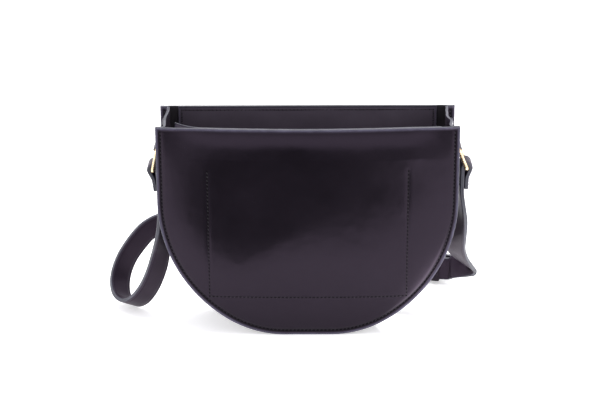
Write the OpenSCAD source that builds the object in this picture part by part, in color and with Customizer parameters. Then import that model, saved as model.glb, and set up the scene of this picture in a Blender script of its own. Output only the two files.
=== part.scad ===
// Half-moon leather shoulder bag with an open top, a U-shaped gusset,
// two brass side rings and a two-part buckled strap that lies behind it.
// Millimetres. X runs to the right, -Y is the front, +Z is up.
// The origin is on the floor, under the middle of the bag.

/* [Body] */
// Width of the front and back panels
body_w = 240; // [210:1:280]
// Height of the panels, from the floor to the open top
body_h = 177; // [165:1:210]
// Depth over the outer faces of the two panels
body_d = 62; // [50:1:80]
// Radius of the lower bend of the outline
base_r = 87; // [75:1:95]
// Angle that the lower bend turns through on each side
base_sweep = 33; // [25:1:40]
// Thickness of the panel leather
panel_t = 2; // [1.6:0.1:3]
// How far the top of the front panel bows forward
front_bow = 7.5; // [2:0.5:12]
// How far the front panel's top edge leans back
lip_back = 2.2; // [0:0.1:3]

/* [Gusset and seams] */
// Thickness of the gusset leather
gusset_t = 2; // [1.4:0.1:2.6]
// Width of the flange that is sewn to each panel
seam_w = 6; // [5:0.5:9]
// Distance from a panel's edge to the seam's stitches
seam_inset = 4; // [3:0.25:4.5]
// Distance from the edge of a strap, tab or facing to its stitches
stitch_inset = 3; // [2:0.25:4]
// Width of a row of stitches
thread_w = 0.9; // [0.6:0.1:1.4]
// How far the thread stands above the leather
thread_h = 0.5; // [0.3:0.1:0.8]

/* [Lining pieces] */
// Thickness of the lining leather
lining_t = 1.4; // [1:0.1:2]
// Width of the two facings inside the mouth
facing_w = 210; // [180:1:215]
// Height of the front facing
front_facing_h = 30; // [20:1:32]
// Height of the back facing
back_facing_h = 60; // [40:1:90]
// How far the loose left corner of the front facing curls inwards
facing_curl = 10; // [0:1:14]
// Width of the pocket inside the front panel
pocket_w = 164; // [120:1:170]
// Height of the pocket's lower edge above the floor
pocket_z = 32; // [30:1:45]
// Height of the pocket's mouth above the floor
pocket_top = 142.5; // [120:0.5:144]
// Distance from the pocket's edge to its stitches
pocket_inset = 2.5; // [2:0.25:4]
// How far the pocket's mouth stands open
pocket_slack = 9; // [6:0.5:12]

/* [Rings and tabs] */
// Thickness of the ring's brass wire
ring_wire = 3; // [2:0.1:3.4]
// Height of a ring between the centres of its bars
ring_h = 18.2; // [15:0.1:24]
// Centre radius of a ring's corners
ring_corner_r = 2; // [1.8:0.1:3]
// Distance from the mouth down to the rings' upper bars
ring_drop = 24.7; // [23:0.1:32]
// Distance from the gusset to the centre of a ring's upper bar
ring_off = 6.6; // [5:0.1:9]
// Outward slant of the left ring at rest
left_tilt = 12; // [8:1:30]
// Outward slant of the right ring at rest
right_tilt = 23; // [8:1:30]
// Thickness of the tab leather
tab_t = 1.3; // [1:0.1:1.6]
// Length of a tab above its ring
tab_h = 20; // [14:1:22]

/* [Strap] */
// Width of the strap
strap_w = 20; // [16:1:26]
// Thickness of the strap, two plies together
strap_t = 3.4; // [2:0.1:3.8]
// Length of a strap end below its ring's lower bar
end_len = 22; // [18:1:26]
// Length of the turned tail below the ring's lower bar
tail_len = 17.5; // [13:0.5:17.5]
// How far the left strap end leans in towards the gusset
left_lean = 2.2; // [0:0.1:2.5]

/* [Buckle] */
// Thickness of the buckle's wire
buckle_wire = 2.6; // [2:0.1:3]
// Length of the buckle between the centres of its bars
buckle_len = 17; // [15:0.5:22]
// Centre radius of the buckle's corners
buckle_corner_r = 2; // [1.6:0.1:2.4]
// Thickness of the prong
prong_d = 2; // [1.6:0.1:2.2]
// Diameter of the punched hole that the prong goes through
prong_hole_d = 5; // [4:0.1:6]
// Diameter of the other punched holes
spare_hole_d = 3.5; // [3:0.1:5]
// Length of the strap's turned end behind the buckle
fold_len = 36; // [36:1:38]
// Length of the long strap's tip past the buckle
tip_len = 42; // [40:1:48]
// Width of the leather keeper
keeper_w = 7; // [5:0.5:9]
// Thickness of the keeper leather
keeper_t = 1.2; // [1:0.1:1.6]
// Distance from the buckle's bar to the middle of the keeper
keeper_at = 28; // [26:1:30]

/* [Hidden] */

// One overrun serves every cut
overrun = 1;
// Air left between layers that lie on each other
layer_gap = 0.1;
// Air between a thread and the leather under it
thread_gap = 0.05;
// Running clearance on the radius of a bar in its leather loop
bar_clear = 0.08;
// Air between a strap end and the strap below it
split_gap = 0.8;
// Facets of round wires
wire_facets = 48;

// Outline of the panels
half_w = body_w / 2;
side_shift = half_w - base_r;
flat_half = side_shift * sin(base_sweep);
axis_h = base_r + side_shift * cos(base_sweep);
bend_steps = 7;
side_steps = 14;

// Right side of the outline, moved inwards by an inset, from the base up
function right_side(inset, top) = concat(
    [for (i = [0:bend_steps])
        let (a = base_sweep * i / bend_steps)
        [flat_half + (base_r - inset) * sin(a), base_r - (base_r - inset) * cos(a)]],
    [for (i = [1:side_steps])
        let (a = base_sweep + (90 - base_sweep) * i / side_steps)
        [(half_w - inset) * sin(a), axis_h - (half_w - inset) * cos(a)]],
    [[half_w - inset, top]]
);

function mirrored(points) = [for (i = [len(points) - 1:-1:0]) [-points[i][0], points[i][1]]];

function outline(inset, top) =
    let (side = right_side(inset, top))
    concat(side, mirrored(side));

// Half the width of the outline at a height, moved inwards by an inset
function half_inside(inset, z) =
    z >= axis_h ? half_w - inset :
    z >= base_r - (base_r - inset) * cos(base_sweep) ?
        sqrt(pow(half_w - inset, 2) - pow(axis_h - z, 2)) :
    flat_half + sqrt(max(0, pow(base_r - inset, 2) - pow(base_r - z, 2)));

// Forward bow of the front panel: nothing at the seams, most at the top middle
bow_power = 2;
side_power = 1.2;
function bow(x, z) =
    let (across = max(0, 1 - pow(x / (half_inside(0, z) - seam_w), 2)))
    let (up = max(0, (z - seam_w) / (body_h - seam_w)))
    front_bow * pow(across, side_power) * (1 - pow(1 - up, bow_power));

// The top of the front first swells forward, then its lip leans back
lip_h = 18;
swell_h = 50;
lip_clear = 9;
lip_fade = 25;
function share(v) = min(1, max(0, v));
function lean(x, z) =
    let (lip = share((z - body_h + lip_h) / lip_h))
    let (swell = share((z - body_h + swell_h) / swell_h))
    let (inside = share((half_w - seam_w - gusset_t / 2 - lip_clear - abs(x)) / lip_fade))
    lip_back * inside * (pow(lip, 2) - pow(swell, 2) * (3 - 2 * swell) / 2);

function front_y(x, z) = lean(x, z) - body_d / 2 - bow(x, z);
function front_inner_y(x, z) = front_y(x, z) + panel_t;

// Solid between two grids of points with the same rows and columns
module slab(near, far, rows, cols) {
    count = rows * cols;
    function id(r, c) = r * cols + c;
    cells = [for (r = [0:rows - 2]) for (c = [0:cols - 2]) [r, c]];
    near_faces = [for (q = cells) for (k = [0:1])
        k == 0 ? [id(q[0], q[1]), id(q[0] + 1, q[1]), id(q[0] + 1, q[1] + 1)]
               : [id(q[0], q[1]), id(q[0] + 1, q[1] + 1), id(q[0], q[1] + 1)]];
    far_faces = [for (t = near_faces) [t[2] + count, t[1] + count, t[0] + count]];
    rim = concat(
        [for (c = [0:cols - 1]) id(0, c)],
        [for (r = [1:rows - 1]) id(r, cols - 1)],
        [for (c = [cols - 2:-1:0]) id(rows - 1, c)],
        [for (r = [rows - 2:-1:1]) id(r, 0)]
    );
    rim_faces = [for (i = [0:len(rim) - 1]) for (k = [0:1])
        let (a = rim[i])
        let (b = rim[(i + 1) % len(rim)])
        k == 0 ? [a, b, b + count] : [a, b + count, a + count]];
    polyhedron(concat(near, far), concat(near_faces, far_faces, rim_faces), convexity = 8);
}

// Plate with an outline in X and Z, from y0 back to y0 + thickness
module plate(y0, thickness) {
    translate([0, y0 + thickness, 0])
        rotate([90, 0, 0])
            linear_extrude(height = thickness)
                children();
}

module stitch_box(w, h) {
    difference() {
        square([w + thread_w, h + thread_w], center = true);
        square([w - thread_w, h - thread_w], center = true);
    }
}

module stitch_band(inset) {
    difference() {
        polygon(outline(inset - thread_w / 2, body_h - stitch_inset));
        polygon(outline(inset + thread_w / 2, body_h + overrun));
    }
}

// Front panel
front_cols = 20;
function panel_cols(h) = concat(
    [-h],
    [for (j = [0:front_cols]) (h - seam_w) * (2 * j / front_cols - 1)],
    [h]
);
upper_rows = 14;
panel_rows = concat(
    [for (p = right_side(0, body_h)) if (p[1] < body_h) p],
    [for (i = [1:upper_rows]) [half_w, axis_h + (body_h - axis_h) * i / upper_rows]]
);

module front_panel() {
    near = [for (p = panel_rows) for (x = panel_cols(p[0])) [x, front_y(x, p[1]), p[1]]];
    far = [for (q = near) q + [0, panel_t, 0]];
    color([0.15, 0.13, 0.16])
        slab(near, far, len(panel_rows), front_cols + 3);
}

module back_panel() {
    color([0.15, 0.13, 0.16])
        plate(body_d / 2 - panel_t, panel_t)
            polygon(outline(0, body_h));
}

// Gusset: a U-shaped wall with a flange turned outwards along each panel
gusset_y = body_d / 2 - panel_t;
flange_w = seam_w + gusset_t / 2;

module gusset_flange() {
    difference() {
        polygon(outline(0, body_h));
        polygon(outline(flange_w, body_h + overrun));
    }
}

module gusset() {
    color([0.13, 0.11, 0.14]) {
        plate(-gusset_y, 2 * gusset_y)
            difference() {
                polygon(outline(seam_w, body_h));
                polygon(outline(seam_w + gusset_t, body_h + overrun));
            }
        plate(-gusset_y, gusset_t)
            gusset_flange();
        plate(gusset_y - gusset_t, gusset_t)
            gusset_flange();
    }
}

// Facings inside the mouth; the front one shares the panel's columns and rows
facing_low = body_h - front_facing_h;
facing_xs = concat(
    [-facing_w / 2],
    [for (x = panel_cols(half_w)) if (abs(x) < facing_w / 2) x],
    [facing_w / 2]
);
facing_zs = concat([facing_low], [for (p = panel_rows) if (p[1] > facing_low) p[1]]);
// Share of the front facing's half width over which its left end is loose
loose_share = 0.22;

function curl(x, z) =
    let (start = -facing_w / 2 * (1 - loose_share))
    let (along = max(0, (start - x) / (facing_w / 2 * loose_share)))
    let (up = (z - facing_low) / front_facing_h)
    facing_curl * pow(along, 2) * up;

module front_facing() {
    near = [for (z = facing_zs) for (x = facing_xs)
        [x, front_inner_y(x, z) + layer_gap + curl(x, z), z]];
    far = [for (q = near) q + [0, lining_t, 0]];
    color([0.2, 0.18, 0.22])
        slab(near, far, len(facing_zs), len(facing_xs));
}

module back_facing() {
    color([0.2, 0.18, 0.22])
        translate([-facing_w / 2, gusset_y - lining_t, body_h - back_facing_h])
            cube([facing_w, lining_t, back_facing_h]);
}

// Pocket sewn inside the front panel by its sides and lower edge
pocket_cols = 15;
pocket_rows = 9;

function pocket_y(x, z) =
    let (across = 1 - pow(2 * x / pocket_w, 2))
    let (up = (z - pocket_z) / (pocket_top - pocket_z))
    front_inner_y(x, z) + layer_gap + pocket_slack * across * up;

module front_pocket() {
    near = [for (r = [0:pocket_rows - 1]) for (c = [0:pocket_cols - 1])
        let (z = pocket_z + (pocket_top - pocket_z) * r / (pocket_rows - 1))
        let (reach = min(pocket_w / 2, half_inside(seam_w + gusset_t, z) - layer_gap * 4))
        let (x = reach * (2 * c / (pocket_cols - 1) - 1))
        [x, pocket_y(x, z), z]];
    far = [for (q = near) q + [0, lining_t, 0]];
    color([0.17, 0.15, 0.19])
        slab(near, far, pocket_rows, pocket_cols);
}

// Threads
thread_color = [0.1, 0.09, 0.12];

module front_seam_thread() {
    color(thread_color)
        plate(-body_d / 2 - thread_gap - thread_h, thread_h)
            stitch_band(seam_inset);
}

module back_seam_thread() {
    color(thread_color)
        plate(body_d / 2 + thread_gap, thread_h)
            stitch_band(seam_inset);
}

module back_facing_thread() {
    w = facing_w - 2 * stitch_inset;
    h = back_facing_h - 2 * stitch_inset;
    color(thread_color)
        plate(gusset_y - lining_t - thread_gap - thread_h, thread_h)
            translate([0, body_h - back_facing_h / 2])
                stitch_box(w, h);
}

// Ribbons: a centre line, a width direction at each point and two sizes
function unit(v) = v / norm(v);
function catmull(a, b, c, d, t) =
    (2 * b + (c - a) * t + (2 * a - 5 * b + 4 * c - d) * t * t
    + (3 * b - a - 3 * c + d) * t * t * t) / 2;
function smooth(points, steps) = concat(
    [for (i = [0:len(points) - 2]) for (k = [0:steps - 1])
        let (a = i > 0 ? points[i - 1] : 2 * points[0] - points[1])
        let (d = i < len(points) - 2 ? points[i + 2] : 2 * points[i + 1] - points[i])
        catmull(a, points[i], points[i + 1], d, k / steps)],
    [points[len(points) - 1]]
);

module ribbon(centres, across, w, t) {
    n = len(centres);
    corners = [for (i = [0:n - 1])
        let (along = unit(centres[min(i + 1, n - 1)] - centres[max(i - 1, 0)]))
        let (side = unit(across[i]))
        let (out = unit(cross(along, side)))
        for (k = [[-1, -1], [1, -1], [1, 1], [-1, 1]])
            centres[i] + side * k[0] * w / 2 + out * k[1] * t / 2];
    walls = [for (i = [0:n - 2]) for (k = [0:3]) for (h = [0:1])
        let (a = 4 * i + k)
        let (b = 4 * i + (k + 1) % 4)
        h == 0 ? [a, a + 4, b + 4] : [a, b + 4, b]];
    last = 4 * (n - 1);
    ends = [[0, 1, 2], [0, 2, 3], [last, last + 2, last + 1], [last, last + 3, last + 2]];
    polyhedron(corners, concat(walls, ends), convexity = 10);
}

// Pocket stitches: down one side, along the lower edge and up the other
pocket_side_steps = 10;
pocket_base_steps = 20;
pocket_half = pocket_w / 2 - pocket_inset;
pocket_low = pocket_z + pocket_inset;
function pocket_point(x, z) = [x, front_y(x, z) - thread_gap - thread_h / 2, z];
pocket_side = [for (i = [0:pocket_side_steps])
    pocket_top - (pocket_top - pocket_low) * i / pocket_side_steps];
pocket_base = [for (i = [0:pocket_base_steps])
    pocket_half * (2 * i / pocket_base_steps - 1)];

module pocket_thread() {
    color(thread_color) {
        for (s = [-1, 1])
            ribbon([for (z = pocket_side) pocket_point(s * pocket_half, z)],
                [for (z = pocket_side) [1, 0, 0]], thread_w, thread_h);
        ribbon([for (x = pocket_base) pocket_point(x, pocket_low)],
            [for (x = pocket_base) [0, 0, 1]], thread_w, thread_h);
    }
}

// Side rings, written for the right side and mirrored for the left
gusset_x = half_w - seam_w;
ring_z = body_h - ring_drop;
bar_x = gusset_x + ring_off;
ring_half_y = (strap_w + ring_wire) / 2 + 8 * layer_gap;
tab_w = strap_w - ring_wire / 2;
bore_r = ring_wire / 2 + bar_clear;
loop_r = bore_r + tab_t;
tab_legs = 2 * tab_t;
tab_seam_w = tab_w - 2 * stitch_inset;
tab_seam_h = tab_h / 2;

// Rectangular loop of round wire in the YZ plane, its upper bar on the Y axis
module wire_loop(half_y, height, wire, corner_r) {
    module bar(length) {
        cylinder(h = length, d = wire, center = true, $fn = wire_facets);
    }
    straight_y = 2 * (half_y - corner_r);
    straight_z = height - 2 * corner_r;
    for (z = [0, -height])
        translate([0, 0, z])
            rotate([90, 0, 0])
                bar(straight_y);
    for (s = [-1, 1])
        translate([0, s * half_y, -height / 2])
            bar(straight_z);
    for (k = [[1, 0, 0], [-1, 0, 90], [-1, 1, 180], [1, 1, 270]])
        translate([0, k[0] * (half_y - corner_r), -corner_r - k[1] * straight_z])
            rotate([k[2], 0, 0])
                rotate([0, 90, 0])
                    rotate([0, 0, 90])
                        rotate_extrude(angle = 90, $fn = wire_facets)
                            translate([corner_r, 0])
                                circle(d = wire, $fn = wire_facets);
}

module ring(tilt) {
    color([0.8, 0.62, 0.32])
        translate([bar_x, 0, ring_z])
            rotate([0, -tilt, 0])
                wire_loop(ring_half_y, ring_h, ring_wire, ring_corner_r);
}

module ring_tab() {
    color([0.12, 0.1, 0.13])
        translate([0, tab_w / 2, 0])
            rotate([90, 0, 0])
                linear_extrude(height = tab_w)
                    difference() {
                        union() {
                            translate([gusset_x, ring_z + loop_r])
                                square([tab_legs, tab_h - loop_r]);
                            translate([bar_x, ring_z])
                                circle(r = loop_r, $fn = wire_facets);
                            polygon([
                                [gusset_x, ring_z + 2 * loop_r],
                                [gusset_x, ring_z + loop_r],
                                [bar_x - loop_r * cos(30), ring_z - loop_r * sin(30)],
                                [bar_x + loop_r * cos(45), ring_z + loop_r * sin(45)],
                                [gusset_x + tab_legs, ring_z + 2 * loop_r]
                            ]);
                        }
                        translate([bar_x, ring_z])
                            circle(r = bore_r, $fn = wire_facets);
                    }
}

module tab_thread() {
    color(thread_color)
        translate([gusset_x + tab_legs + thread_gap, 0, ring_z + tab_h - stitch_inset - tab_seam_h / 2])
            rotate([90, 0, 90])
                linear_extrude(height = thread_h)
                    stitch_box(tab_seam_w, tab_seam_h);
}

// Strap ends, turned round the lower bars of the rings
fold_in = bore_r;
fold_out = fold_in + strap_t;
function low_bar(tilt) = [bar_x + ring_h * sin(tilt), ring_z - ring_h * cos(tilt)];
tail_bend = fold_out * 2;

module strap_end(tilt, lean) {
    b = low_bar(tilt);
    leg = b[0] - fold_in;
    color([0.14, 0.12, 0.15])
        translate([0, strap_w / 2, 0])
            rotate([90, 0, 0])
                difference() {
                    union() {
                        translate(b)
                            cylinder(h = strap_w, r = fold_out, $fn = wire_facets);
                        linear_extrude(height = strap_w)
                            polygon([
                                [leg - strap_t, b[1]],
                                [b[0] + fold_out, b[1]],
                                [leg + strap_t - lean * tail_bend / end_len, b[1] - tail_bend],
                                [leg + strap_t - lean * tail_len / end_len, b[1] - tail_len],
                                [leg - lean * tail_len / end_len, b[1] - tail_len],
                                [leg - lean, b[1] - end_len],
                                [leg - strap_t - lean, b[1] - end_len]
                            ]);
                    }
                    translate([b[0], b[1], -overrun])
                        cylinder(h = strap_w + 2 * overrun, r = fold_in, $fn = wire_facets);
                    translate([0, 0, -overrun])
                        linear_extrude(height = strap_w + 2 * overrun)
                            polygon([
                                [leg, b[1]],
                                [b[0] + fold_in, b[1]],
                                [leg - lean * tail_bend / end_len, b[1] - tail_bend]
                            ]);
                }
}

// Box of stitches through the tail and the strap under it
strap_seam_h = tail_len - tail_bend - stitch_inset;

module strap_end_thread(tilt, lean) {
    b = low_bar(tilt);
    tail_face = b[0] - fold_in + strap_t + thread_gap;
    color(thread_color)
        translate([tail_face, 0, b[1]])
            rotate([0, atan(lean / end_len), 0])
                translate([0, 0, -tail_bend - (stitch_inset + strap_seam_h) / 2])
                    rotate([90, 0, 90])
                        linear_extrude(height = thread_h)
                            stitch_box(tab_seam_w, strap_seam_h);
}

// Where the strap's straight run passes behind the bag, as shares of the body
run_x_share = 0.7;
run_y_share = 1.431;
run_heading = -13.5;
bar_r = buckle_wire / 2;
buckle_half = strap_w / 2 + bar_r + 12 * layer_gap;
// The strap stands on edge there, with the buckle's frame just off the floor
run_z = buckle_half + bar_r + 2 * layer_gap;
run_origin = [run_x_share * half_w, run_y_share * body_d, run_z];
run_along = [cos(run_heading), sin(run_heading), 0];
run_out = [-sin(run_heading), cos(run_heading), 0];
function on_run(along, out) = run_origin + run_along * along + run_out * out;
function in_body(s) = [s[0] * half_w, s[1] * body_d, s[2] * body_h];

fold_mid = bar_r + bar_clear + strap_t / 2;
layer_mid = (strap_t + layer_gap) / 2;
blend_len = 3 * fold_mid;
turn_steps = 8;

// Long strap: [place as shares of the body, width direction]
long_route_shares = [
    [[-0.994, 0.016, 0.548], [0.10, 1.00, 0.00]],
    [[-0.992, 0.032, 0.463], [0.28, 0.95, -0.10]],
    [[-0.997, 0.048, 0.384], [0.50, 0.80, -0.30]],
    [[-1.017, 0.099, 0.301], [0.65, 0.63, -0.42]],
    [[-1.054, 0.146, 0.216], [0.69, 0.60, -0.40]],
    [[-1.104, 0.187, 0.138], [0.70, 0.58, -0.42]],
    [[-1.171, 0.240, 0.073], [0.70, 0.56, -0.44]],
    [[-1.243, 0.345, 0.039], [0.69, 0.55, -0.46]],
    [[-1.302, 0.490, 0.045], [0.70, 0.55, -0.45]],
    [[-1.328, 0.619, 0.085], [0.72, 0.55, -0.42]],
    [[-1.319, 0.719, 0.143], [0.72, 0.54, -0.43]],
    [[-1.275, 0.789, 0.214], [0.70, 0.50, -0.50]],
    [[-1.193, 0.842, 0.291], [0.60, 0.40, -0.68]],
    [[-1.117, 0.864, 0.342], [0.36, 0.30, -0.88]],
    [[-1.017, 0.891, 0.370], [0.05, 0.15, -1.00]],
    [[-0.875, 0.935, 0.370], [0.00, 0.10, -1.00]],
    [[-0.667, 1.032, 0.325], [0.00, 0.05, -1.00]],
    [[-0.417, 1.145, 0.260], [0.00, 0.00, -1.00]],
    [[-0.125, 1.274, 0.186], [0.00, 0.00, -1.00]],
    [[0.150, 1.395, 0.124], [0.00, 0.00, -1.00]],
    [[0.317, 1.458, 0.094], [0.00, 0.00, -1.00]]
];

// Short strap, in the same form
short_route_shares = [
    [[1.046, 0.016, 0.571], [-0.10, 0.99, 0.00]],
    [[1.050, 0.065, 0.494], [-0.27, 0.96, -0.03]],
    [[1.036, 0.194, 0.398], [-0.50, 0.86, -0.04]],
    [[1.030, 0.371, 0.308], [-0.68, 0.72, -0.13]],
    [[1.067, 0.565, 0.238], [-0.57, 0.82, -0.10]],
    [[1.120, 0.742, 0.181], [-0.38, 0.92, -0.10]],
    [[1.158, 0.871, 0.144], [-0.22, 0.97, -0.12]],
    [[1.172, 0.935, 0.129], [-0.20, 0.97, 0.00]],
    [[1.163, 0.992, 0.120], [-0.20, 0.94, 0.28]],
    [[1.130, 1.040, 0.121], [-0.16, 0.80, 0.58]],
    [[1.092, 1.095, 0.117], [-0.05, 0.50, 0.86]],
    [[1.042, 1.175, 0.101], [0.00, 0.30, 0.95]],
    [[1.020, 1.249, 0.082], [0.00, 0.04, 1.00]]
];

function strap_top(tilt, lean, side) =
    let (b = low_bar(tilt))
    [side * (b[0] - fold_in - strap_t / 2 - lean), 0, b[1] - end_len - split_gap];

// The long strap goes under the buckle's far bar, up through it and over the fold
far_bar = -buckle_len;
over_fold = 2 * fold_mid + layer_gap * 3 - bar_r;
over_layers = 2 * layer_mid + strap_t / 2 + layer_gap;
tail_along = [for (p = [
    [far_bar * 1.7, -fold_mid],
    [far_bar - bar_r, -fold_mid],
    [far_bar * 0.75, -fold_mid * 0.8],
    [far_bar * 0.5, fold_mid * 0.5],
    [far_bar * 0.25, over_fold],
    [0, over_fold + strap_t / 2],
    [blend_len / 2, over_fold + strap_t / 4],
    [blend_len, over_layers + strap_t / 2],
    [tip_len / 2, over_layers + strap_t / 2],
    [tip_len, over_layers + strap_t / 2]
]) on_run(p[0], p[1])];

long_points = concat(
    [strap_top(left_tilt, left_lean, -1)],
    [for (q = long_route_shares) in_body(q[0])],
    tail_along
);
long_across = concat(
    [[0, 1, 0]],
    [for (q = long_route_shares) q[1]],
    [for (p = tail_along) [0, 0, -1]]
);

short_line = concat(
    [strap_top(right_tilt, 0, 1)],
    [for (q = short_route_shares) in_body(q[0])]
);
short_line_across = concat([[0, 1, 0]], [for (q = short_route_shares) q[1]]);
short_run = concat(
    [on_run(fold_len * 0.75, -layer_mid), on_run(fold_len / 2, -layer_mid)],
    [on_run(blend_len, -layer_mid), on_run(blend_len / 2, -(layer_mid + fold_mid) / 2)]
);
turn = [for (i = [0:turn_steps])
    let (a = 180 * i / turn_steps)
    on_run(-fold_mid * sin(a), -fold_mid * cos(a))];
folded = [
    on_run(blend_len / 2, (layer_mid + fold_mid) / 2),
    on_run(blend_len, layer_mid),
    on_run(fold_len, layer_mid)
];
strap_steps = 3;

// Hole along the prong, through the long strap where it rises past the buckle
module prong_hole() {
    translate(on_run(0, bar_r))
        rotate([0, 0, run_heading])
            rotate([0, -90, 0])
                cylinder(h = buckle_len - bar_r, d = prong_hole_d, $fn = wire_facets);
}

// The other punched holes: three before the buckle and one past it
hole_step = 20;
module spare_holes() {
    route_end = len(long_route_shares) - 1;
    spots = [
        in_body(long_route_shares[route_end - 1][0]),
        in_body(long_route_shares[route_end][0]),
        tail_along[0],
        on_run(far_bar / 2 + hole_step, over_layers + strap_t / 2)
    ];
    for (p = spots)
        translate(p)
            rotate([90, 0, run_heading / 2])
                cylinder(h = 2 * strap_t, d = spare_hole_d, center = true, $fn = wire_facets);
}

// Slot in the short strap's fold for the prong's eye
module prong_slot() {
    translate(on_run(-fold_mid - strap_t, 0))
        rotate([0, 0, run_heading])
            translate([0, -fold_mid, -prong_hole_d / 2])
                cube([fold_mid + strap_t + bar_r * 2, fold_mid + strap_t * 1.5, prong_hole_d]);
}

module long_strap() {
    color([0.14, 0.12, 0.15])
        difference() {
            ribbon(smooth(long_points, strap_steps), smooth(long_across, strap_steps), strap_w, strap_t);
            prong_hole();
            spare_holes();
        }
}

module short_strap() {
    line = concat(smooth(concat(short_line, short_run), strap_steps), turn, folded);
    across = concat(
        smooth(concat(short_line_across, [for (p = short_run) [0, 0, 1]]), strap_steps),
        [for (p = concat(turn, folded)) [0, 0, 1]]
    );
    color([0.14, 0.12, 0.15])
        difference() {
            ribbon(line, across, strap_w, strap_t);
            prong_slot();
        }
}

module strap_buckle() {
    color([0.8, 0.62, 0.32])
        translate(run_origin)
            rotate([0, 0, run_heading])
                rotate([90, 0, 90])
                    wire_loop(buckle_half, buckle_len, buckle_wire, buckle_corner_r);
}

// The prong turns on the buckle's near bar and rests on the far one
prong_r = prong_d / 2;
prong_rest = bar_r + prong_r + layer_gap;
prong_lift = asin(prong_rest / buckle_len);
prong_len = buckle_len + bar_r + prong_r;

module buckle_prong() {
    color([0.8, 0.62, 0.32])
        translate(run_origin)
            rotate([0, 0, run_heading])
                difference() {
                    union() {
                        cylinder(h = prong_d * 1.4, r = bar_r + bar_clear + prong_d / 2, center = true,
                            $fn = wire_facets);
                        rotate([0, 0, -prong_lift])
                            rotate([0, -90, 0])
                                cylinder(h = prong_len, d = prong_d, $fn = wire_facets);
                    }
                    cylinder(h = prong_d * 3, r = bar_r + bar_clear, center = true, $fn = wire_facets);
                }
}

// The keeper goes round the three layers behind the buckle
keeper_low = -layer_mid - strap_t / 2 - thread_gap - thread_h - layer_gap * 2;
keeper_high = over_layers + strap_t + layer_gap * 3;
keeper_half_z = strap_w / 2 + layer_gap * 4;

module strap_keeper() {
    color([0.12, 0.1, 0.13])
        translate(on_run(keeper_at - keeper_w / 2, 0))
            rotate([0, 0, run_heading])
                difference() {
                    translate([0, keeper_low - keeper_t, -keeper_half_z - keeper_t])
                        cube([keeper_w, keeper_high - keeper_low + 2 * keeper_t,
                            2 * (keeper_half_z + keeper_t)]);
                    translate([-overrun, keeper_low, -keeper_half_z])
                        cube([keeper_w + 2 * overrun, keeper_high - keeper_low, 2 * keeper_half_z]);
                }
}

// Stitches through the short strap's fold, on the side that faces the bag
module buckle_fold_thread() {
    seam_start = blend_len + stitch_inset;
    seam_end = keeper_at - keeper_w;
    color(thread_color)
        translate(on_run((seam_start + seam_end) / 2, -layer_mid - strap_t / 2 - thread_gap))
            rotate([90, 0, run_heading])
                linear_extrude(height = thread_h)
                    stitch_box(seam_end - seam_start, tab_seam_w);
}

module left_ring() {
    mirror([1, 0, 0]) ring(left_tilt);
}

module right_ring() {
    ring(right_tilt);
}

module left_ring_tab() {
    mirror([1, 0, 0]) ring_tab();
}

module right_ring_tab() {
    ring_tab();
}

module left_tab_thread() {
    mirror([1, 0, 0]) tab_thread();
}

module right_tab_thread() {
    tab_thread();
}

module left_strap_end() {
    mirror([1, 0, 0]) strap_end(left_tilt, left_lean);
}

module right_strap_end() {
    strap_end(right_tilt, 0);
}

module left_strap_end_thread() {
    mirror([1, 0, 0]) strap_end_thread(left_tilt, left_lean);
}

module right_strap_end_thread() {
    strap_end_thread(right_tilt, 0);
}

front_panel();
back_panel();
gusset();
front_facing();
back_facing();
front_pocket();
front_seam_thread();
back_seam_thread();
pocket_thread();
back_facing_thread();
left_ring_tab();
right_ring_tab();
left_tab_thread();
right_tab_thread();
left_ring();
right_ring();
left_strap_end();
right_strap_end();
left_strap_end_thread();
right_strap_end_thread();
long_strap();
short_strap();
strap_buckle();
buckle_prong();
strap_keeper();
buckle_fold_thread();
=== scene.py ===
"""Looks of a half-moon leather shoulder bag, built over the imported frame. Metres, +Z up, -Y the front."""

import math

import bpy
import numpy as np
from mathutils import Matrix, Vector


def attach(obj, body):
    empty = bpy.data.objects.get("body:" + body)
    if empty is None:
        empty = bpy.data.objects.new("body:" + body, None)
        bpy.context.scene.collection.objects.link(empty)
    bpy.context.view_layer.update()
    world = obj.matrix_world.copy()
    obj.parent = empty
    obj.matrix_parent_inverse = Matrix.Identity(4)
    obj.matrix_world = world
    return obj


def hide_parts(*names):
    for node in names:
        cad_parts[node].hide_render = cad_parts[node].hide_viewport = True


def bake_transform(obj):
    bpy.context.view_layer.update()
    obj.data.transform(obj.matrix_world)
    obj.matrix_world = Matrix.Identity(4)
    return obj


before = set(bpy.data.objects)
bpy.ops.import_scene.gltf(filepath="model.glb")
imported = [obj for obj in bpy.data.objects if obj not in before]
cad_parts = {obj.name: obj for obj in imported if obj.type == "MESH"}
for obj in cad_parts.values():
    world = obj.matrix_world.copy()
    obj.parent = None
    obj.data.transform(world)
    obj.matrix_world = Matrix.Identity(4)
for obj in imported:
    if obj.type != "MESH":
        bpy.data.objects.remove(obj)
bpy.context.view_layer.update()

MM = 0.001


def mm(*lengths):
    """Lengths in millimetres as metres."""
    return tuple(v * MM for v in lengths)


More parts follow.
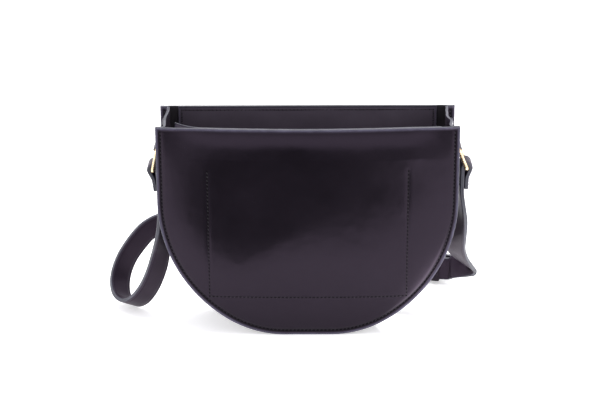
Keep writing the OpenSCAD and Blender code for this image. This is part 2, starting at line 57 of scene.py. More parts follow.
# ---- sizes: those of the pieces are the same as in the part's source; the relief and the places of the
# stitches are the scene's own ----
HALF_W, BODY_H, HALF_D = mm(120, 177, 31)
BASE_R, SWEEP = 87 * MM, math.radians(33)
PANEL_T, GUSSET_T, SEAM_W = mm(2, 2, 6)
BOW, BOW_SIDES = 7.5 * MM, 1.2
LIP_BACK, LIP_H, SWELL_H, LIP_CLEAR, LIP_FADE = mm(2.2, 18, 50, 9, 25)
STITCH_IN, CREASE_IN, STITCH_PITCH = mm(4, 1.9, 3.15)
CREASE_DEEP, CREASE_W, CHANNEL_DEEP, CHANNEL_W = mm(0.3, 0.4, 0.5, 1.2)
ROLL_H, ROLL_W, ROLL_TOP = mm(1.6, 8.5, 25)
SHIFT = HALF_W - BASE_R
FLAT_HALF, AXIS_H = SHIFT * math.sin(SWEEP), BASE_R + SHIFT * math.cos(SWEEP)
GUSSET_X = HALF_W - SEAM_W
FACING_W, FACING_T = mm(210, 1.4)
FRONT_FACING_H, BACK_FACING_H, CURL = mm(30, 60, 10)
POCKET_W, POCKET_Z, POCKET_TOP, POCKET_SLACK = mm(164, 32, 142.5, 9)
POCKET_ROW_X, POCKET_ROW_Z, LAYER_GAP = mm(79.5, 34.5, 0.1)
WIRE, RING_H, RING_CORNER = mm(3, 18.2, 2)
RING_Z, RING_X = 152.3 * MM, GUSSET_X + 6.6 * MM
TILT = {"left": math.radians(12), "right": math.radians(23)}
LEAN = {"left": 2.2 * MM, "right": 0.0}
TAB_T, TAB_H, TAB_W = mm(1.3, 20, 18.7)
STRAP_W, STRAP_T = mm(20, 3.4)
END_LEN, TAIL_LEN, BAR_CLEAR = mm(22, 17.5, 0.08)
BUCKLE_LEN, BUCKLE_HALF, PRONG_D = mm(17, 12.5, 2)
BAR_R = 1.3 * MM
FOLD_LEN, TIP_LEN = mm(36, 42)
KEEPER_W, KEEPER_T, KEEPER_AT = mm(7, 1.2, 28)
RUN_Z, RUN_TURN = 14 * MM, math.radians(-13.5)
HOLE_STEP, SPARE_R, ROW_IN = mm(20, 1.75, 3)
SIGN = {"left": -1, "right": 1}
DEPTHWAYS, UP = np.array([0.0, 1, 0]), np.array([0, 0, 1.0])


# ---- meshes ----
def piece(name, points, faces, body=None, smooth=True, marks=None, faced=None, rim=None, uv=None):
    """A mesh object from an array of points and lists of faces, turned so that its volume is positive."""
    points = np.asarray(points, float).reshape(-1, 3)
    quads = [list(f) for f in faces]
    tris = np.array([(f[0], f[k], f[k + 1]) for f in quads for k in range(1, len(f) - 1)])
    a, b, c = (points[tris[:, k]] for k in range(3))
    if np.einsum("ij,ij->i", a, np.cross(b, c)).sum() < 0:
        quads = [f[::-1] for f in quads]
    mesh = bpy.data.meshes.new(name)
    mesh.from_pydata(points.tolist(), [], quads)
    mesh.validate()
    obj = bpy.data.objects.new(name, mesh)
    bpy.context.scene.collection.objects.link(obj)
    mesh.polygons.foreach_set("use_smooth", [smooth] * len(mesh.polygons))
    for m in marks or []:
        mesh.materials.append(m)
    if faced is not None:
        mesh.polygons.foreach_set("material_index", np.asarray(faced, np.int32))
    if rim is not None:
        layer = mesh.attributes.new("rim", "FLOAT", "POINT")
        layer.data.foreach_set("value", np.asarray(rim, np.float32).ravel())
    if uv is not None:
        corner = np.empty(len(mesh.loops), np.int32)
        mesh.loops.foreach_get("vertex_index", corner)
        layer = mesh.uv_layers.new(name="lay")
        layer.data.foreach_set("uv", np.asarray(uv, np.float32).reshape(-1, 2)[corner].ravel())
    if body:
        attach(obj, body)
    return obj


def quads_of(rows, cols, wrap_rows=False, wrap_cols=False):
    """Faces of a grid of rows by cols points, numbered row by row, closed on itself where asked."""
    r = np.arange(rows if wrap_rows else rows - 1)[:, None]
    c = np.arange(cols if wrap_cols else cols - 1)[None, :]
    r2, c2 = (r + 1) % rows, (c + 1) % cols
    faces = np.stack([r * cols + c, r2 * cols + c, r2 * cols + c2, r * cols + c2], -1)
    return faces.reshape(-1, 4)


def tube_of_rings(rings, closed=False):
    """Faces of a stack of closed rings; the two ends are capped by one face each unless the stack closes."""
    n, m = rings.shape[:2]
    faces = quads_of(n, m, closed, True).tolist()
    if not closed:
        faces += [list(range(m))[::-1], list(range((n - 1) * m, n * m))]
    return faces


def unit(v):
    """Vectors divided by their length."""
    return v / np.maximum(np.linalg.norm(v, axis=-1, keepdims=True), 1e-12)


def through(points, steps=8):
    """Points on the smooth curve through given points: uniform Catmull-Rom cubics, steps to each span."""
    p = np.asarray(points, float)
    p = np.vstack([2 * p[0] - p[1], p, 2 * p[-1] - p[-2]])
    t = np.linspace(0, 1, steps, endpoint=False)[None, :, None]
    a, b, c, d = (p[k:len(p) - 3 + k][:, None, :] for k in range(4))
    q = (2 * b + (c - a) * t + (2 * a - 5 * b + 4 * c - d) * t**2 + (3 * b - a - 3 * c + d) * t**3) / 2
    return np.vstack([q.reshape(-1, p.shape[1]), p[-2][None]])


def evenly(points, pitch, others=()):
    """The same line with points a fixed distance apart along its length; others are values carried along."""
    p = np.asarray(points, float)
    s = np.r_[0, np.cumsum(np.linalg.norm(np.diff(p, axis=0), axis=1))]
    n = max(2, int(round(s[-1] / pitch)) + 1)
    at = np.linspace(0, s[-1], n)
    carry = lambda v: np.stack([np.interp(at, s, v[:, k]) for k in range(v.shape[1])], -1)
    return (carry(p), *[carry(np.asarray(o, float)) for o in others])


def hill(value, at, half, power=2):
    """A smooth bell: 1 where the value is at its middle, 1/e at a distance of half from it."""
    return np.exp(-(((value - at) / half) ** power))


def stands_for(obj, slot, *nodes):
    """The object replaces these nodes, which are hidden; the slot is not used."""
    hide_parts(*nodes)


# ---- outline of the panels ----
def right_half(inset, counts):
    """Right half of the half-moon moved inwards by inset, from the middle of the base up: a flat,
    an arc, a wider arc, an upright."""
    flat, lower, side, upright = counts
    d = np.asarray(inset, float)[..., None]
    x0 = np.linspace(0, FLAT_HALF, flat, endpoint=False)
    a1 = np.linspace(0, SWEEP, lower, endpoint=False)
    a2 = np.linspace(SWEEP, math.pi / 2, side, endpoint=False)
    z3 = np.linspace(0, 1, upright)
    one = np.ones_like(d)
    low_r, side_r = BASE_R - d, HALF_W - d
    x = [one * x0, FLAT_HALF + low_r * np.sin(a1), side_r * np.sin(a2), side_r * np.ones_like(z3)]
    z = [d * np.ones_like(x0), BASE_R - low_r * np.cos(a1), AXIS_H - side_r * np.cos(a2)]
    z.append(AXIS_H + (BODY_H - AXIS_H) * z3 * one)
    return np.stack([np.concatenate(x, -1), np.concatenate(z, -1)], -1)


def u_path(inset, counts):
    """The whole U of the outline, from the top left down, along the base and up to the top right."""
    right = right_half(inset, counts)
    left = right[..., :0:-1, :] * np.array([-1, 1])
    return np.concatenate([left, right], -2)


def half_inside(inset, z):
    """Half the width of the inset outline at height z."""
    z = np.asarray(z, float)
    side = np.sqrt(np.maximum((HALF_W - inset) ** 2 - (AXIS_H - z) ** 2, 0))
    lower = FLAT_HALF + np.sqrt(np.maximum((BASE_R - inset) ** 2 - (BASE_R - z) ** 2, 0))
    meet = BASE_R - (BASE_R - inset) * math.cos(SWEEP)
    return np.where(z >= AXIS_H, HALF_W - inset, np.where(z >= meet, side, lower))


def bow(x, z):
    """Forward bow of the front: none at the seams, most at the top middle; a power of one less the
    square across, times one less the square of the way down."""
    across = np.maximum(0, 1 - (x / (half_inside(0, z) - SEAM_W)) ** 2)
    up = np.maximum(0, (z - SEAM_W) / (BODY_H - SEAM_W))
    return BOW * across**BOW_SIDES * (1 - (1 - up) ** 2)


def lump(x, z, cx, cz, wx, wz):
    """A soft round rise centred at cx, cz with half widths wx and wz."""
    return hill(x, cx, wx) * hill(z, cz, wz)


def seam_distance(x, z):
    """Distance of a point of the panel from the sewn part of its edge, which is all but the top."""
    x = np.abs(x)
    low_r, side_r = np.hypot(x - FLAT_HALF, z - BASE_R), np.hypot(x, z - AXIS_H)
    low_a, side_a = np.arctan2(x - FLAT_HALF, BASE_R - z), np.arctan2(x, AXIS_H - z)
    on_low = (x > FLAT_HALF) & (low_a < SWEEP) & (z < BASE_R)
    below = np.where(on_low, BASE_R - low_r, np.where(side_a >= SWEEP, HALF_W - side_r, z))
    d = np.where(z >= AXIS_H, HALF_W - x, below)
    return np.maximum(d, 0)


def seam_relief(x, z):
    """Height over the flat leather: a crease along the whole edge, then a sewn channel and a soft
    roll along the seam, which rises as one less a falling exponential."""
    d, top = seam_distance(x, z), BODY_H - z
    crease = -CREASE_DEEP * hill(np.minimum(d, top), CREASE_IN, CREASE_W)
    channel = -CHANNEL_DEEP * hill(d, STITCH_IN, CHANNEL_W)
    roll = ROLL_H * (1 - np.exp(-np.maximum(d - STITCH_IN, 0) / ROLL_W))
    return crease + channel + roll * np.clip(top / ROLL_TOP, 0, 1)


# insets of a panel's outer rings, close together over the crease and the channel; then rings to the pole
PANEL_D = np.array([0.35, 0.7, 1.1, 1.45, 1.7, 1.9, 2.1, 2.4, 2.8, 3.2, 3.6, 3.9, 4.3, 4.8,
                    5.5, 6.5, 8, 10, 12, 14.5, 17.5, 21]) * MM
OUTER_RINGS, INNER_RINGS, FAR_IN = 80, 20, 60 * MM
# the rim: a painted highlight, pale at the edge with a fainter glow round it, then a dark line of painted
# shade: faint along the top edge, stronger in the sewn channel and strongest towards the base
RIM_W, GLOW_W, DARK_IN, DARK_W, DARK_LOW, DARK_FADE = mm(1.5, 2.6, 3.6, 1.1, 90, 60)
GLOW, DARK_ALL, DARK_SEWN, DARK_BASE = 0.35, 0.15, 0.3, 0.55


def closed_outline(d, top_in, counts=(8, 20, 58, 28), top=110):
    """Closed loops of the half-moon: the U inset by d and a top edge lowered by top_in, corner to corner."""
    d, top_z = np.atleast_1d(d), BODY_H - np.atleast_1d(top_in)[:, None]
    u = u_path(d, counts)
    k = (u[..., 1] - AXIS_H) / (BODY_H - AXIS_H)
    z = np.where(u[..., 1] > AXIS_H, AXIS_H + k * (top_z - AXIS_H), u[..., 1])
    t = np.linspace(1, -1, top + 2)[1:-1]
    edge = np.stack([(HALF_W - d)[:, None] * t, top_z * np.ones_like(t)], -1)
    return np.concatenate([np.stack([u[..., 0], z], -1), edge], 1)


def on_face(xz, face):
    """Points of x, z put on the face that gives y over them."""
    return np.stack([xz[..., 0], face(xz[..., 0], xz[..., 1]), xz[..., 1]], -1)


def panel(name, face, back, marks, body):
    """A half-moon of leather: outline rings inset step by step on its outer face, shrunk to a pole,
    with some of these rings on its inner face. face and back give y over x, z."""
    d = PANEL_D
    flat = closed_outline(d, d)
    centre = np.array([0, 0.6 * BODY_H])
    shrink = lambda rings: centre + (flat[-1] - centre) * np.linspace(1, 0, rings + 2)[1:-1, None, None]
    outer_xz = np.concatenate([flat, shrink(OUTER_RINGS)])
    inner_xz = np.concatenate([flat[::3], shrink(INNER_RINGS)])
    depth = np.r_[d, np.full(OUTER_RINGS, FAR_IN)][::-1]
    inner_depth = np.r_[d[::3], np.full(INNER_RINGS, FAR_IN)]
    n, m = outer_xz.shape[:2]
    # the cut edge: a half round in four rings, by how far each is in and its share of the way across
    edge_d = np.array([0.12, 0.0, 0.0, 0.12]) * MM
    edge_xz = closed_outline(edge_d, edge_d)
    share = np.array([0.1, 0.3, 0.7, 0.9])[:, None, None]
    edge = on_face(edge_xz, face) * (1 - share) + on_face(edge_xz, back) * share
    rings = np.concatenate([on_face(outer_xz, face)[::-1], edge, on_face(inner_xz, back)])
    pole = np.stack([on_face(centre, face), on_face(centre, back)])
    faces = quads_of(len(rings), m, False, True).tolist()
    last = len(rings) * m
    faces += [[last, k, (k + 1) % m] for k in range(m)]
    faces += [[last + 1, last - m + (k + 1) % m, last - m + k] for k in range(m)]
    height = closed_outline(0.0, 0.0)[0][:, 1]
    sewn = np.where(height < BODY_H - 1 * MM, 1.0, 0.0)
    low_part = np.clip((DARK_LOW - height) / DARK_FADE, 0, 1)
    # painted highlight at the cut edge, then a dark line of painted shade just inside it
    light = hill(depth, 0, RIM_W, 4) + GLOW * hill(depth, 0, GLOW_W, 6)
    dark = hill(depth, DARK_IN, DARK_W)[:, None] * (DARK_ALL + (DARK_SEWN + DARK_BASE * low_part) * sewn)
    inner_rim = hill(inner_depth, 0, 2 * MM)[:, None] * np.ones((1, m))
    rim = np.r_[np.concatenate([light[:, None] - dark, np.ones((4, m)), inner_rim]).ravel(), 0, 0]
    row = np.repeat(np.arange(len(rings) - 1), m)
    kind = np.where((row >= n - 1) & (row < n + 4), 1, np.where(row < n - 1, 0, 2))
    kind = np.r_[kind, np.zeros(m), np.full(m, 2)]
    points = np.vstack([rings.reshape(-1, 3), pole])
    return piece(name, points, faces, body, marks=marks, faced=kind, rim=rim)


# ---- strips: straps, tabs, keeper ----
def strip_section(w, t, ply_line=True):
    """Closed outline of a strip's cut: two faces with a faint crown and rounded edges. A two-ply strip
    also has a crease along each edge of both faces and a fine line between the plies."""
    r = min(1.0 * MM, t * 0.34)
    groove = 0.2 * MM if ply_line else 0.0
    a = np.linspace(0, w / 2 - r, 5)
    if ply_line:
        flat = np.linspace(w / 2 - 5 * MM, w / 2 - 2.6 * MM, 3)
        a = np.r_[0, flat, w / 2 - np.array([2.3, 2.1, 1.9, 1.6, 1.3]) * MM]
    crown = 0.1 * MM * (1 - (2 * a / w) ** 2)
    face = np.stack([a, t / 2 + crown - groove * hill(w / 2 - a, 2.1 * MM, 0.28 * MM)], -1)
    turn = np.linspace(0, math.pi / 2, 5)[0 if ply_line else 1:]
    corner = np.stack([w / 2 - r + r * np.sin(turn), t / 2 - r + r * np.cos(turn)], -1)
    quarter = np.vstack([face, corner, [[w / 2, 0.16 * MM], [w / 2 - groove, 0]]])
    right = np.vstack([quarter, quarter[-2::-1] * [1, -1]])
    return np.vstack([right, right[-2:0:-1] * [-1, 1]])


def strip(name, path, across, w, t, marks, body=None, closed=False, ply_line=True, pitch=1.3 * MM):
    """A strip carried along a path: its cut stands across the path, its width along the given
    direction, one for all points or one for each."""
    path, across = evenly(path, pitch, [np.broadcast_to(across, np.shape(path))])
    across = unit(across)
    if closed:
        path, across = path[:-1], across[:-1]
        along = unit(np.roll(path, -1, 0) - np.roll(path, 1, 0))
        out = np.cross(along, across)
    else:
        along = unit(np.gradient(path, axis=0))
        out = np.cross(along, across)
        # smoothed over five points, the middle one weighing most
        pad = np.vstack([out[:1], out[:1], out, out[-1:], out[-1:]])
        out = (pad[:-4] + 2 * pad[1:-3] + 3 * pad[2:-2] + 2 * pad[3:-1] + pad[4:]) / 9
    out = unit(out)
    cut = strip_section(w, t, ply_line)
    put = lambda p, a, o, c: p + a * c[:, :1] + o * c[:, 1:]
    rings = put(path[:, None], across[:, None], out[:, None], cut)
    if not closed:
        tuck = 0.35 * MM
        small = cut * np.array([1 - 2 * tuck / w, 1 - 2 * tuck / t])
        ends = [put(path[k] + s * tuck * along[k], across[k], out[k], small) for k, s in ((0, -1), (-1, 1))]
        rings = np.concatenate([[ends[0]], rings, [ends[1]]])
    n, m = rings.shape[:2]
    # the faces along both edges, and those of the ends, take the second material
    at_edge = np.abs(cut[:, 0]) > w / 2 - 0.5 * MM
    kind = np.tile((at_edge & np.roll(at_edge, -1)).astype(int), n if closed else n - 1)
    if not closed:
        kind[:m] = kind[-m:] = 1
        kind = np.r_[kind, 1, 1]
    # a painted highlight along both edges of the faces, in the leather's rim colour
    rim = np.exp(-(w / 2 - np.abs(cut[:, 0])) / (0.9 * MM))[None, :] * np.ones((n, 1))
    run = np.r_[0, np.cumsum(np.linalg.norm(np.diff(rings.mean(1), axis=0), axis=1))]
    uv = np.stack([run[:, None] * np.ones((1, m)), np.ones((n, 1)) * cut[None, :, 0]], -1)
    return piece(name, rings, tube_of_rings(rings, closed), body, marks=marks, faced=kind, rim=rim, uv=uv)


def circle_angles(sides):
    """Angles of evenly spaced points round a circle."""
    return np.linspace(0, 2 * math.pi, sides, endpoint=False)


def round_cuts(path, along, radius, ref, sides):
    """Circles square to a path, one at each point, all turned by the direction ref."""
    u = unit(np.cross(along, ref))
    v, a = np.cross(along, u), circle_angles(sides)[:, None]
    ring = np.cos(a) * u[:, None, :] + np.sin(a) * v[:, None, :]
    return path[:, None, :] + ring * np.reshape(radius, (-1, 1, 1))


def wire(name, path, radius, body, ref, node):
    """A closed brass wire of one radius along a path."""
    n, sides = len(path), 20
    along = unit(np.roll(path, -1, 0) - np.roll(path, 1, 0))
    rings = round_cuts(path, along, radius, ref, sides)
    uv = [np.arange(n)[:, None] * np.ones((1, sides)) * MM, np.ones((n, 1)) * circle_angles(sides) * radius]
    obj = piece(name, rings, tube_of_rings(rings, True), body, marks=[brass], uv=np.stack(uv, -1))
    stands_for(obj, "brass", node)


def loop_path(half_w, height, corner, steps=9):
    """A rectangle with round corners in its own plane: sideways and down from the middle of its
    upper bar, closed."""
    w, h, pts = half_w - corner, height - corner, []
    for k, (cx, cy) in enumerate([(w, -corner), (w, -h), (-w, -h), (-w, -corner)]):
        a = math.pi / 2 - k * math.pi / 2 - np.linspace(0, math.pi / 2, steps)
        pts.append(np.stack([cx + corner * np.cos(a), cy + corner * np.sin(a)], -1))
    return evenly(np.vstack(pts + [pts[0][:1]]), 0.6 * MM)[0][:-1]


def two_in_one(points, faces, more_points, more_faces):
    """Points and faces of two meshes as one."""
    return np.vstack([points, more_points]), faces + [[i + len(points) for i in f] for f in more_faces]


def box(x0, x1, y0, y1):
    """The four sides of a rectangle, each as its two corners."""
    corners = [(x0, y0), (x1, y0), (x1, y1), (x0, y1), (x0, y0)]
    return list(zip(corners, corners[1:]))


# ---- stitches ----
# how far thread and awl holes stand out of the leather, how high they are, and how far a stitch's ends dip
THREAD_OUT, THREAD_H, THREAD_DIP, HOLE_OUT, HOLE_H = mm(0.1, 0.45, 0.25, 0.05, 0.12)
# how many rings each is made of, and the sides of a ring
THREAD_RINGS, HOLE_RINGS, OVAL_SIDES = 7, 5, 8


def stitches(name, rows, normals, body, node, length=2.0 * MM, width=0.8 * MM, pitch=STITCH_PITCH,
             slant=0.35, hole=0.52 * MM):
    """Rows of sewn stitches: a short slanting oval of thread to each step, and at each end of it a near-black
    oval of painted shade where the awl hole is. The normals are one for all rows or one for each."""
    spots, pits = [], []
    for row, normal in zip(rows, np.broadcast_to(normals, (len(rows), 3))):
        (p,) = evenly(row, pitch)
        t = unit(np.diff(p, axis=0))
        n = unit(np.broadcast_to(np.asarray(normal, float), t.shape))
        n = unit(n - t * np.einsum("ij,ij->i", n, t)[:, None])
        spots.append(np.stack([(p[1:] + p[:-1]) / 2, t, n]))
        pits.append(np.stack([p, np.vstack([t, t[-1:]]), np.vstack([n, n[-1:]])]))
    (at, along, out), (pit_at, pit_along, pit_out) = (np.concatenate(v, 1) for v in (spots, pits))
    along = unit(along + slant * np.cross(out, along))
    thread = ovals(at + out * THREAD_OUT, along, out, length, width, THREAD_H, THREAD_RINGS, THREAD_DIP)
    pit_at = pit_at + pit_out * HOLE_OUT
    holes = ovals(pit_at, pit_along, pit_out, 2 * hole, 1.8 * hole, HOLE_H, HOLE_RINGS, 0.0)
    points, faces = two_in_one(*thread, *holes)
    kind = [0] * len(thread[1]) + [1] * len(holes[1])
    lay = np.meshgrid(np.linspace(-1, 1, THREAD_RINGS) * length / 2, np.arange(OVAL_SIDES) * 0.1 * MM,
                      indexing="ij")
    uv = np.vstack([np.tile(np.stack(lay, -1).reshape(-1, 2), (len(at), 1)), np.zeros((len(holes[0]), 2))])
    obj = piece(name, points, faces, body, marks=[thread_wax, awl_hole_shade], faced=kind, uv=uv)
    stands_for(obj, "thread", node)


def ovals(centre, along, out, length, width, height, rings, dip):
    """Many ovals at once, as points and faces: eight-sided cuts that swell and shrink along each by the
    root of one less a power of the share of its half length, the ends dipping inwards."""
    side, sides = np.cross(out, along), OVAL_SIDES
    u, a = np.linspace(-1, 1, rings), circle_angles(sides)
    size = np.sqrt(np.maximum(1 - np.abs(u) ** 2.4, 0.03))
    x = (u * length / 2)[:, None] * np.ones((1, sides))
    y = size[:, None] * np.cos(a)[None] * width / 2
    z = size[:, None] * np.sin(a)[None] * height / 2 - dip * (u**2)[:, None]
    x, y, z = (v.reshape(1, -1, 1) for v in (x, y, z))
    pts = centre[:, None, :] + x * along[:, None, :] + y * side[:, None, :] + z * out[:, None, :]
    one = tube_of_rings(np.zeros((rings, sides, 3)))
    faces = [[i + rings * sides * k for i in f] for k in range(len(centre)) for f in one]
    return pts.reshape(-1, 3), faces


# ---- materials ----
class Wires:
    """Small helper that adds shader nodes to a tree and links them."""

    def __init__(self, tree):
        self.tree = tree

    def fill(self, node, values):
        """A node's settings, constants and links, by the name of the setting or input."""
        for key, value in values.items():
            if hasattr(node, key):
                setattr(node, key, value)
            elif hasattr(value, "is_output"):
                self.tree.links.new(value, node.inputs[key.replace("_", " ")])
            else:
                node.inputs[key.replace("_", " ")].default_value = value

    def node(self, kind, *sources, **values):
        """A node whose first inputs are linked to the sources in their order, and the rest filled."""
        n = self.tree.nodes.new("ShaderNode" + kind)
        for source, socket in zip(sources, n.inputs):
            self.tree.links.new(source, socket)
        self.fill(n, values)
        return n

    def maths(self, how, *sources):
        """Values joined by the operation named."""
        return self.node("Math", *sources, operation=how).outputs[0]

    def span(self, source, lo, hi, low=0.0, high=1.0, **more):
        """A value between lo and hi as one between low and high, held at both ends."""
        return self.node("MapRange", source, From_Min=lo, From_Max=hi, To_Min=low, To_Max=high,
                         **more).outputs[0]


class Mix(Wires):
    """The shader nodes of one material."""

    def __init__(self, name):
        self.mat = bpy.data.materials.new(name)
        self.mat.use_nodes = True
        super().__init__(self.mat.node_tree)
        self.tree.nodes.clear()
        self.shader = self.node("BsdfPrincipled")
        self.node("OutputMaterial", self.shader.outputs[0])
        place = self.node("TexCoord").outputs
        self.here, self.lay = place["Object"], place["UV"]

    def set(self, **values):
        """Constants on the shader's own sockets, and links into them."""
        self.fill(self.shader, values)

    def noise(self, scale, detail, rough, stretch=None):
        """Noise over the piece's own place, stretched where asked."""
        vec = self.here
        if stretch is not None:
            vec = self.node("Mapping", vec, Scale=stretch).outputs[0]
        return self.node("TexNoise", vec, Scale=scale, Detail=detail, Roughness=rough).outputs["Fac"]

    def blend(self, fac, a, b):
        """A colour between a and b; each of the three is a source or a constant."""
        n = self.node("Mix", data_type="RGBA", blend_type="MIX")
        for sock, v in ((n.inputs[0], fac), (n.inputs[6], a), (n.inputs[7], b)):
            if hasattr(v, "is_output"):
                self.tree.links.new(v, sock)
            else:
                sock.default_value = (*v, 1)
        return n.outputs[2]

    def bumps(self, *layers):
        """Bump nodes one on another: pairs of height source and depth in metres."""
        last = {}
        for source, depth in layers:
            b = self.node("Bump", Height=source, Strength=1.0, Distance=depth, **last)
            last = {"Normal": b.outputs[0]}
        self.set(**last)


def scaled(colour, share):
    """A colour with each part times a share, which may also be over 1."""
    return tuple(share * v for v in colour)


def grained_leather(name, deep, worn, edge, rough=(0.17, 0.23), sheen=0.03):
    """Finished leather: a fine pebbled grain, cloudy colour, tiny marks, a painted highlight of the edge colour
    where the rim value is above 0, a dark dull line of painted shade where it is below, and a gloss that
    changes with them."""
    m = Mix(name)
    cloud, mottle, fine = m.noise(16, 4, 0.55), m.noise(120, 4, 0.6), m.noise(1500, 2, 0.5)
    pebble = m.node("TexVoronoi", m.here, feature="SMOOTH_F1", Scale=1150.0, Smoothness=0.7).outputs["Distance"]
    base = m.blend(m.span(cloud, 0.3, 0.7), deep, worn)
    base = m.blend(m.span(mottle, 0.42, 0.75, 0.0, 0.2), base, scaled(deep, 0.7))
    base = m.blend(m.span(pebble, 0.2, 0.9, 0.0, 0.08), base, scaled(deep, 0.6))
    # the rim value: above 0 a painted highlight, below 0 painted shade
    rim = m.node("Attribute", attribute_name="rim").outputs["Fac"]
    broken = m.maths("MULTIPLY", m.span(rim, 0.0, 1.0), m.span(mottle, 0.25, 0.65, 0.55, 1.0))
    base = m.blend(broken, base, edge)
    gloss = m.maths("ADD", m.span(cloud, 0.3, 0.7, *rough), m.span(fine, 0.3, 0.7, -0.05, 0.05))
    m.set(Base_Color=m.blend(m.span(rim, 0.0, -1.0), base, scaled(deep, 0.2)), Roughness=gloss,
          Specular_IOR_Level=m.span(rim, -1.0, 0.0, 0.06, 0.235), Specular_Tint=(0.92, 0.7, 1.0, 1),
          Sheen_Weight=sheen, Sheen_Roughness=0.45, Sheen_Tint=(0.8, 0.65, 0.9, 1), Coat_Weight=0.03,
          Coat_Roughness=0.3)
    m.bumps((m.noise(45, 2, 0.5), 0.3 * MM), (mottle, 0.01 * MM), (pebble, 0.012 * MM), (fine, 0.0048 * MM))
    return m.mat


def cut_edge(name, colour, glow):
    """Dyed and rubbed cut edge: faint fibres along it, waxy gloss."""
    m = Mix(name)
    fibre, cloud = m.noise(900, 3, 0.6), m.noise(90, 3, 0.6)
    base = m.blend(m.span(cloud, 0.35, 0.7), colour, glow)
    m.set(Base_Color=m.blend(m.span(fibre, 0.55, 0.8, 0.0, 0.5), base, scaled(colour, 0.45)),
          Roughness=m.span(fibre, 0.3, 0.7, 0.34, 0.5), Specular_IOR_Level=0.5, Coat_Weight=0.12,
          Coat_Roughness=0.25)
    m.bumps((fibre, 0.06 * MM), (cloud, 0.15 * MM))
    return m.mat


def flesh_side(name, colour, light, shine=0.3, sheen=0.35):
    """The inner, napped side of leather: matt, with short fibres."""
    m = Mix(name)
    nap, cloud = m.noise(1700, 5, 0.7), m.noise(45, 4, 0.6)
    base = m.blend(m.span(cloud, 0.3, 0.7), colour, light)
    m.set(Base_Color=m.blend(m.span(nap, 0.45, 0.75, 0.0, 0.5), base, scaled(light, 1.5)),
          Roughness=m.span(nap, 0.3, 0.7, 0.7, 0.92), Specular_IOR_Level=shine, Sheen_Weight=sheen,
          Sheen_Roughness=0.6)
    m.bumps((nap, 0.12 * MM), (cloud, 0.2 * MM))
    return m.mat


def waxed_thread(name, colour, light):
    """Twisted thread: slanting strands from waves along each stitch, waxy highlights."""
    m = Mix(name)
    turned = m.node("Mapping", m.lay, Scale=(1, 1.4, 1), Rotation=(0, 0, 0.7)).outputs[0]
    twist = m.node("TexWave", turned, Scale=900.0, Distortion=1.0, Detail=1.0).outputs["Fac"]
    m.set(Base_Color=m.blend(m.span(twist, 0.2, 0.8), colour, light),
          Roughness=m.span(twist, 0.0, 1.0, 0.6, 0.5), Specular_IOR_Level=0.2, Sheen_Weight=0.05)
    m.bumps((twist, 0.08 * MM))
    return m.mat


def polished_brass(name):
    """Polished brass with hair-fine wear and a few duller clouds."""
    m = Mix(name)
    cloud, hair = m.noise(160, 4, 0.6), m.noise(500, 2, 0.5, stretch=(1, 9, 1))
    m.set(Base_Color=m.blend(m.span(cloud, 0.35, 0.7), (0.90, 0.72, 0.47), (0.80, 0.60, 0.36)),
          Roughness=m.span(hair, 0.3, 0.7, 0.2, 0.3), Metallic=1.0, Specular_IOR_Level=0.5)
    m.bumps((hair, 0.004 * MM), (cloud, 0.01 * MM))
    return m.mat


plum, plum_worn = (0.0054, 0.0042, 0.0062), (0.0080, 0.0062, 0.0090)
# the two pale bluish rim colours below are painted highlights along the leather's edges
rim_highlight, edge_highlight_blue = (0.085, 0.08, 0.115), (0.046, 0.044, 0.064)
body_leather = grained_leather("body_leather", plum, plum_worn, rim_highlight)
strap_leather = grained_leather("strap_leather", (0.0105, 0.0066, 0.0115), (0.0165, 0.0102, 0.018),
                                edge_highlight_blue, rough=(0.3, 0.42))
lining_leather = grained_leather("lining_leather", (0.054, 0.045, 0.058), (0.072, 0.061, 0.078),
                                 edge_highlight_blue, rough=(0.5, 0.66), sheen=0.1)
rubbed_edge = cut_edge("rubbed_edge", (0.028, 0.028, 0.040), (0.052, 0.052, 0.072))
napped_side = flesh_side("napped_side", (0.0085, 0.0064, 0.0095), (0.0140, 0.0108, 0.0155), sheen=0.12)
thread_wax = waxed_thread("thread_wax", (0.006, 0.0052, 0.0068), (0.016, 0.0142, 0.0185))
# the awl holes: near-black ovals of painted shade, almost without gloss
awl_hole_shade = flesh_side("awl_hole_shade", (0.0010, 0.0009, 0.0011), (0.0016, 0.0014, 0.0018), shine=0.04, sheen=0.0)
# the back panel's cut edge: the dyed edge made darker, as painted shade
shaded_edge = cut_edge("shaded_edge", (0.012, 0.011, 0.015), (0.03, 0.028, 0.036))
# the keeper's leather: a near-black copy of the strap leather, painted shade for the keeper, which sits in
# shadow
keeper_leather_shaded = grained_leather("keeper_leather_shaded", (0.0028, 0.0024, 0.003), (0.0045, 0.0038, 0.0048),
                                 (0.006, 0.0055, 0.0065), rough=(0.42, 0.55), sheen=0.0)
brass = polished_brass("brass")
LINING, STRAP = [lining_leather, rubbed_edge], [strap_leather, rubbed_edge]


# ---- front and back panels ----
def pocket_seam(x, z):
    """How near a point is to the pocket's U-shaped seam: 1 on it, 0 a few millimetres away. A bell
    curve across each row, ended by a steep S-shaped step."""
    fade = lambda v, at: 1 / (1 + np.exp((v - at) / (0.8 * MM)))
    across, half, past = np.abs(x), 1.5 * MM, 0.5 * MM
    sides = hill(across, POCKET_ROW_X, half) * fade(z, POCKET_TOP + 1 * MM) * fade(-z, past - POCKET_ROW_Z)
    return np.maximum(sides, hill(z, POCKET_ROW_Z, half) * fade(across, POCKET_ROW_X + past))


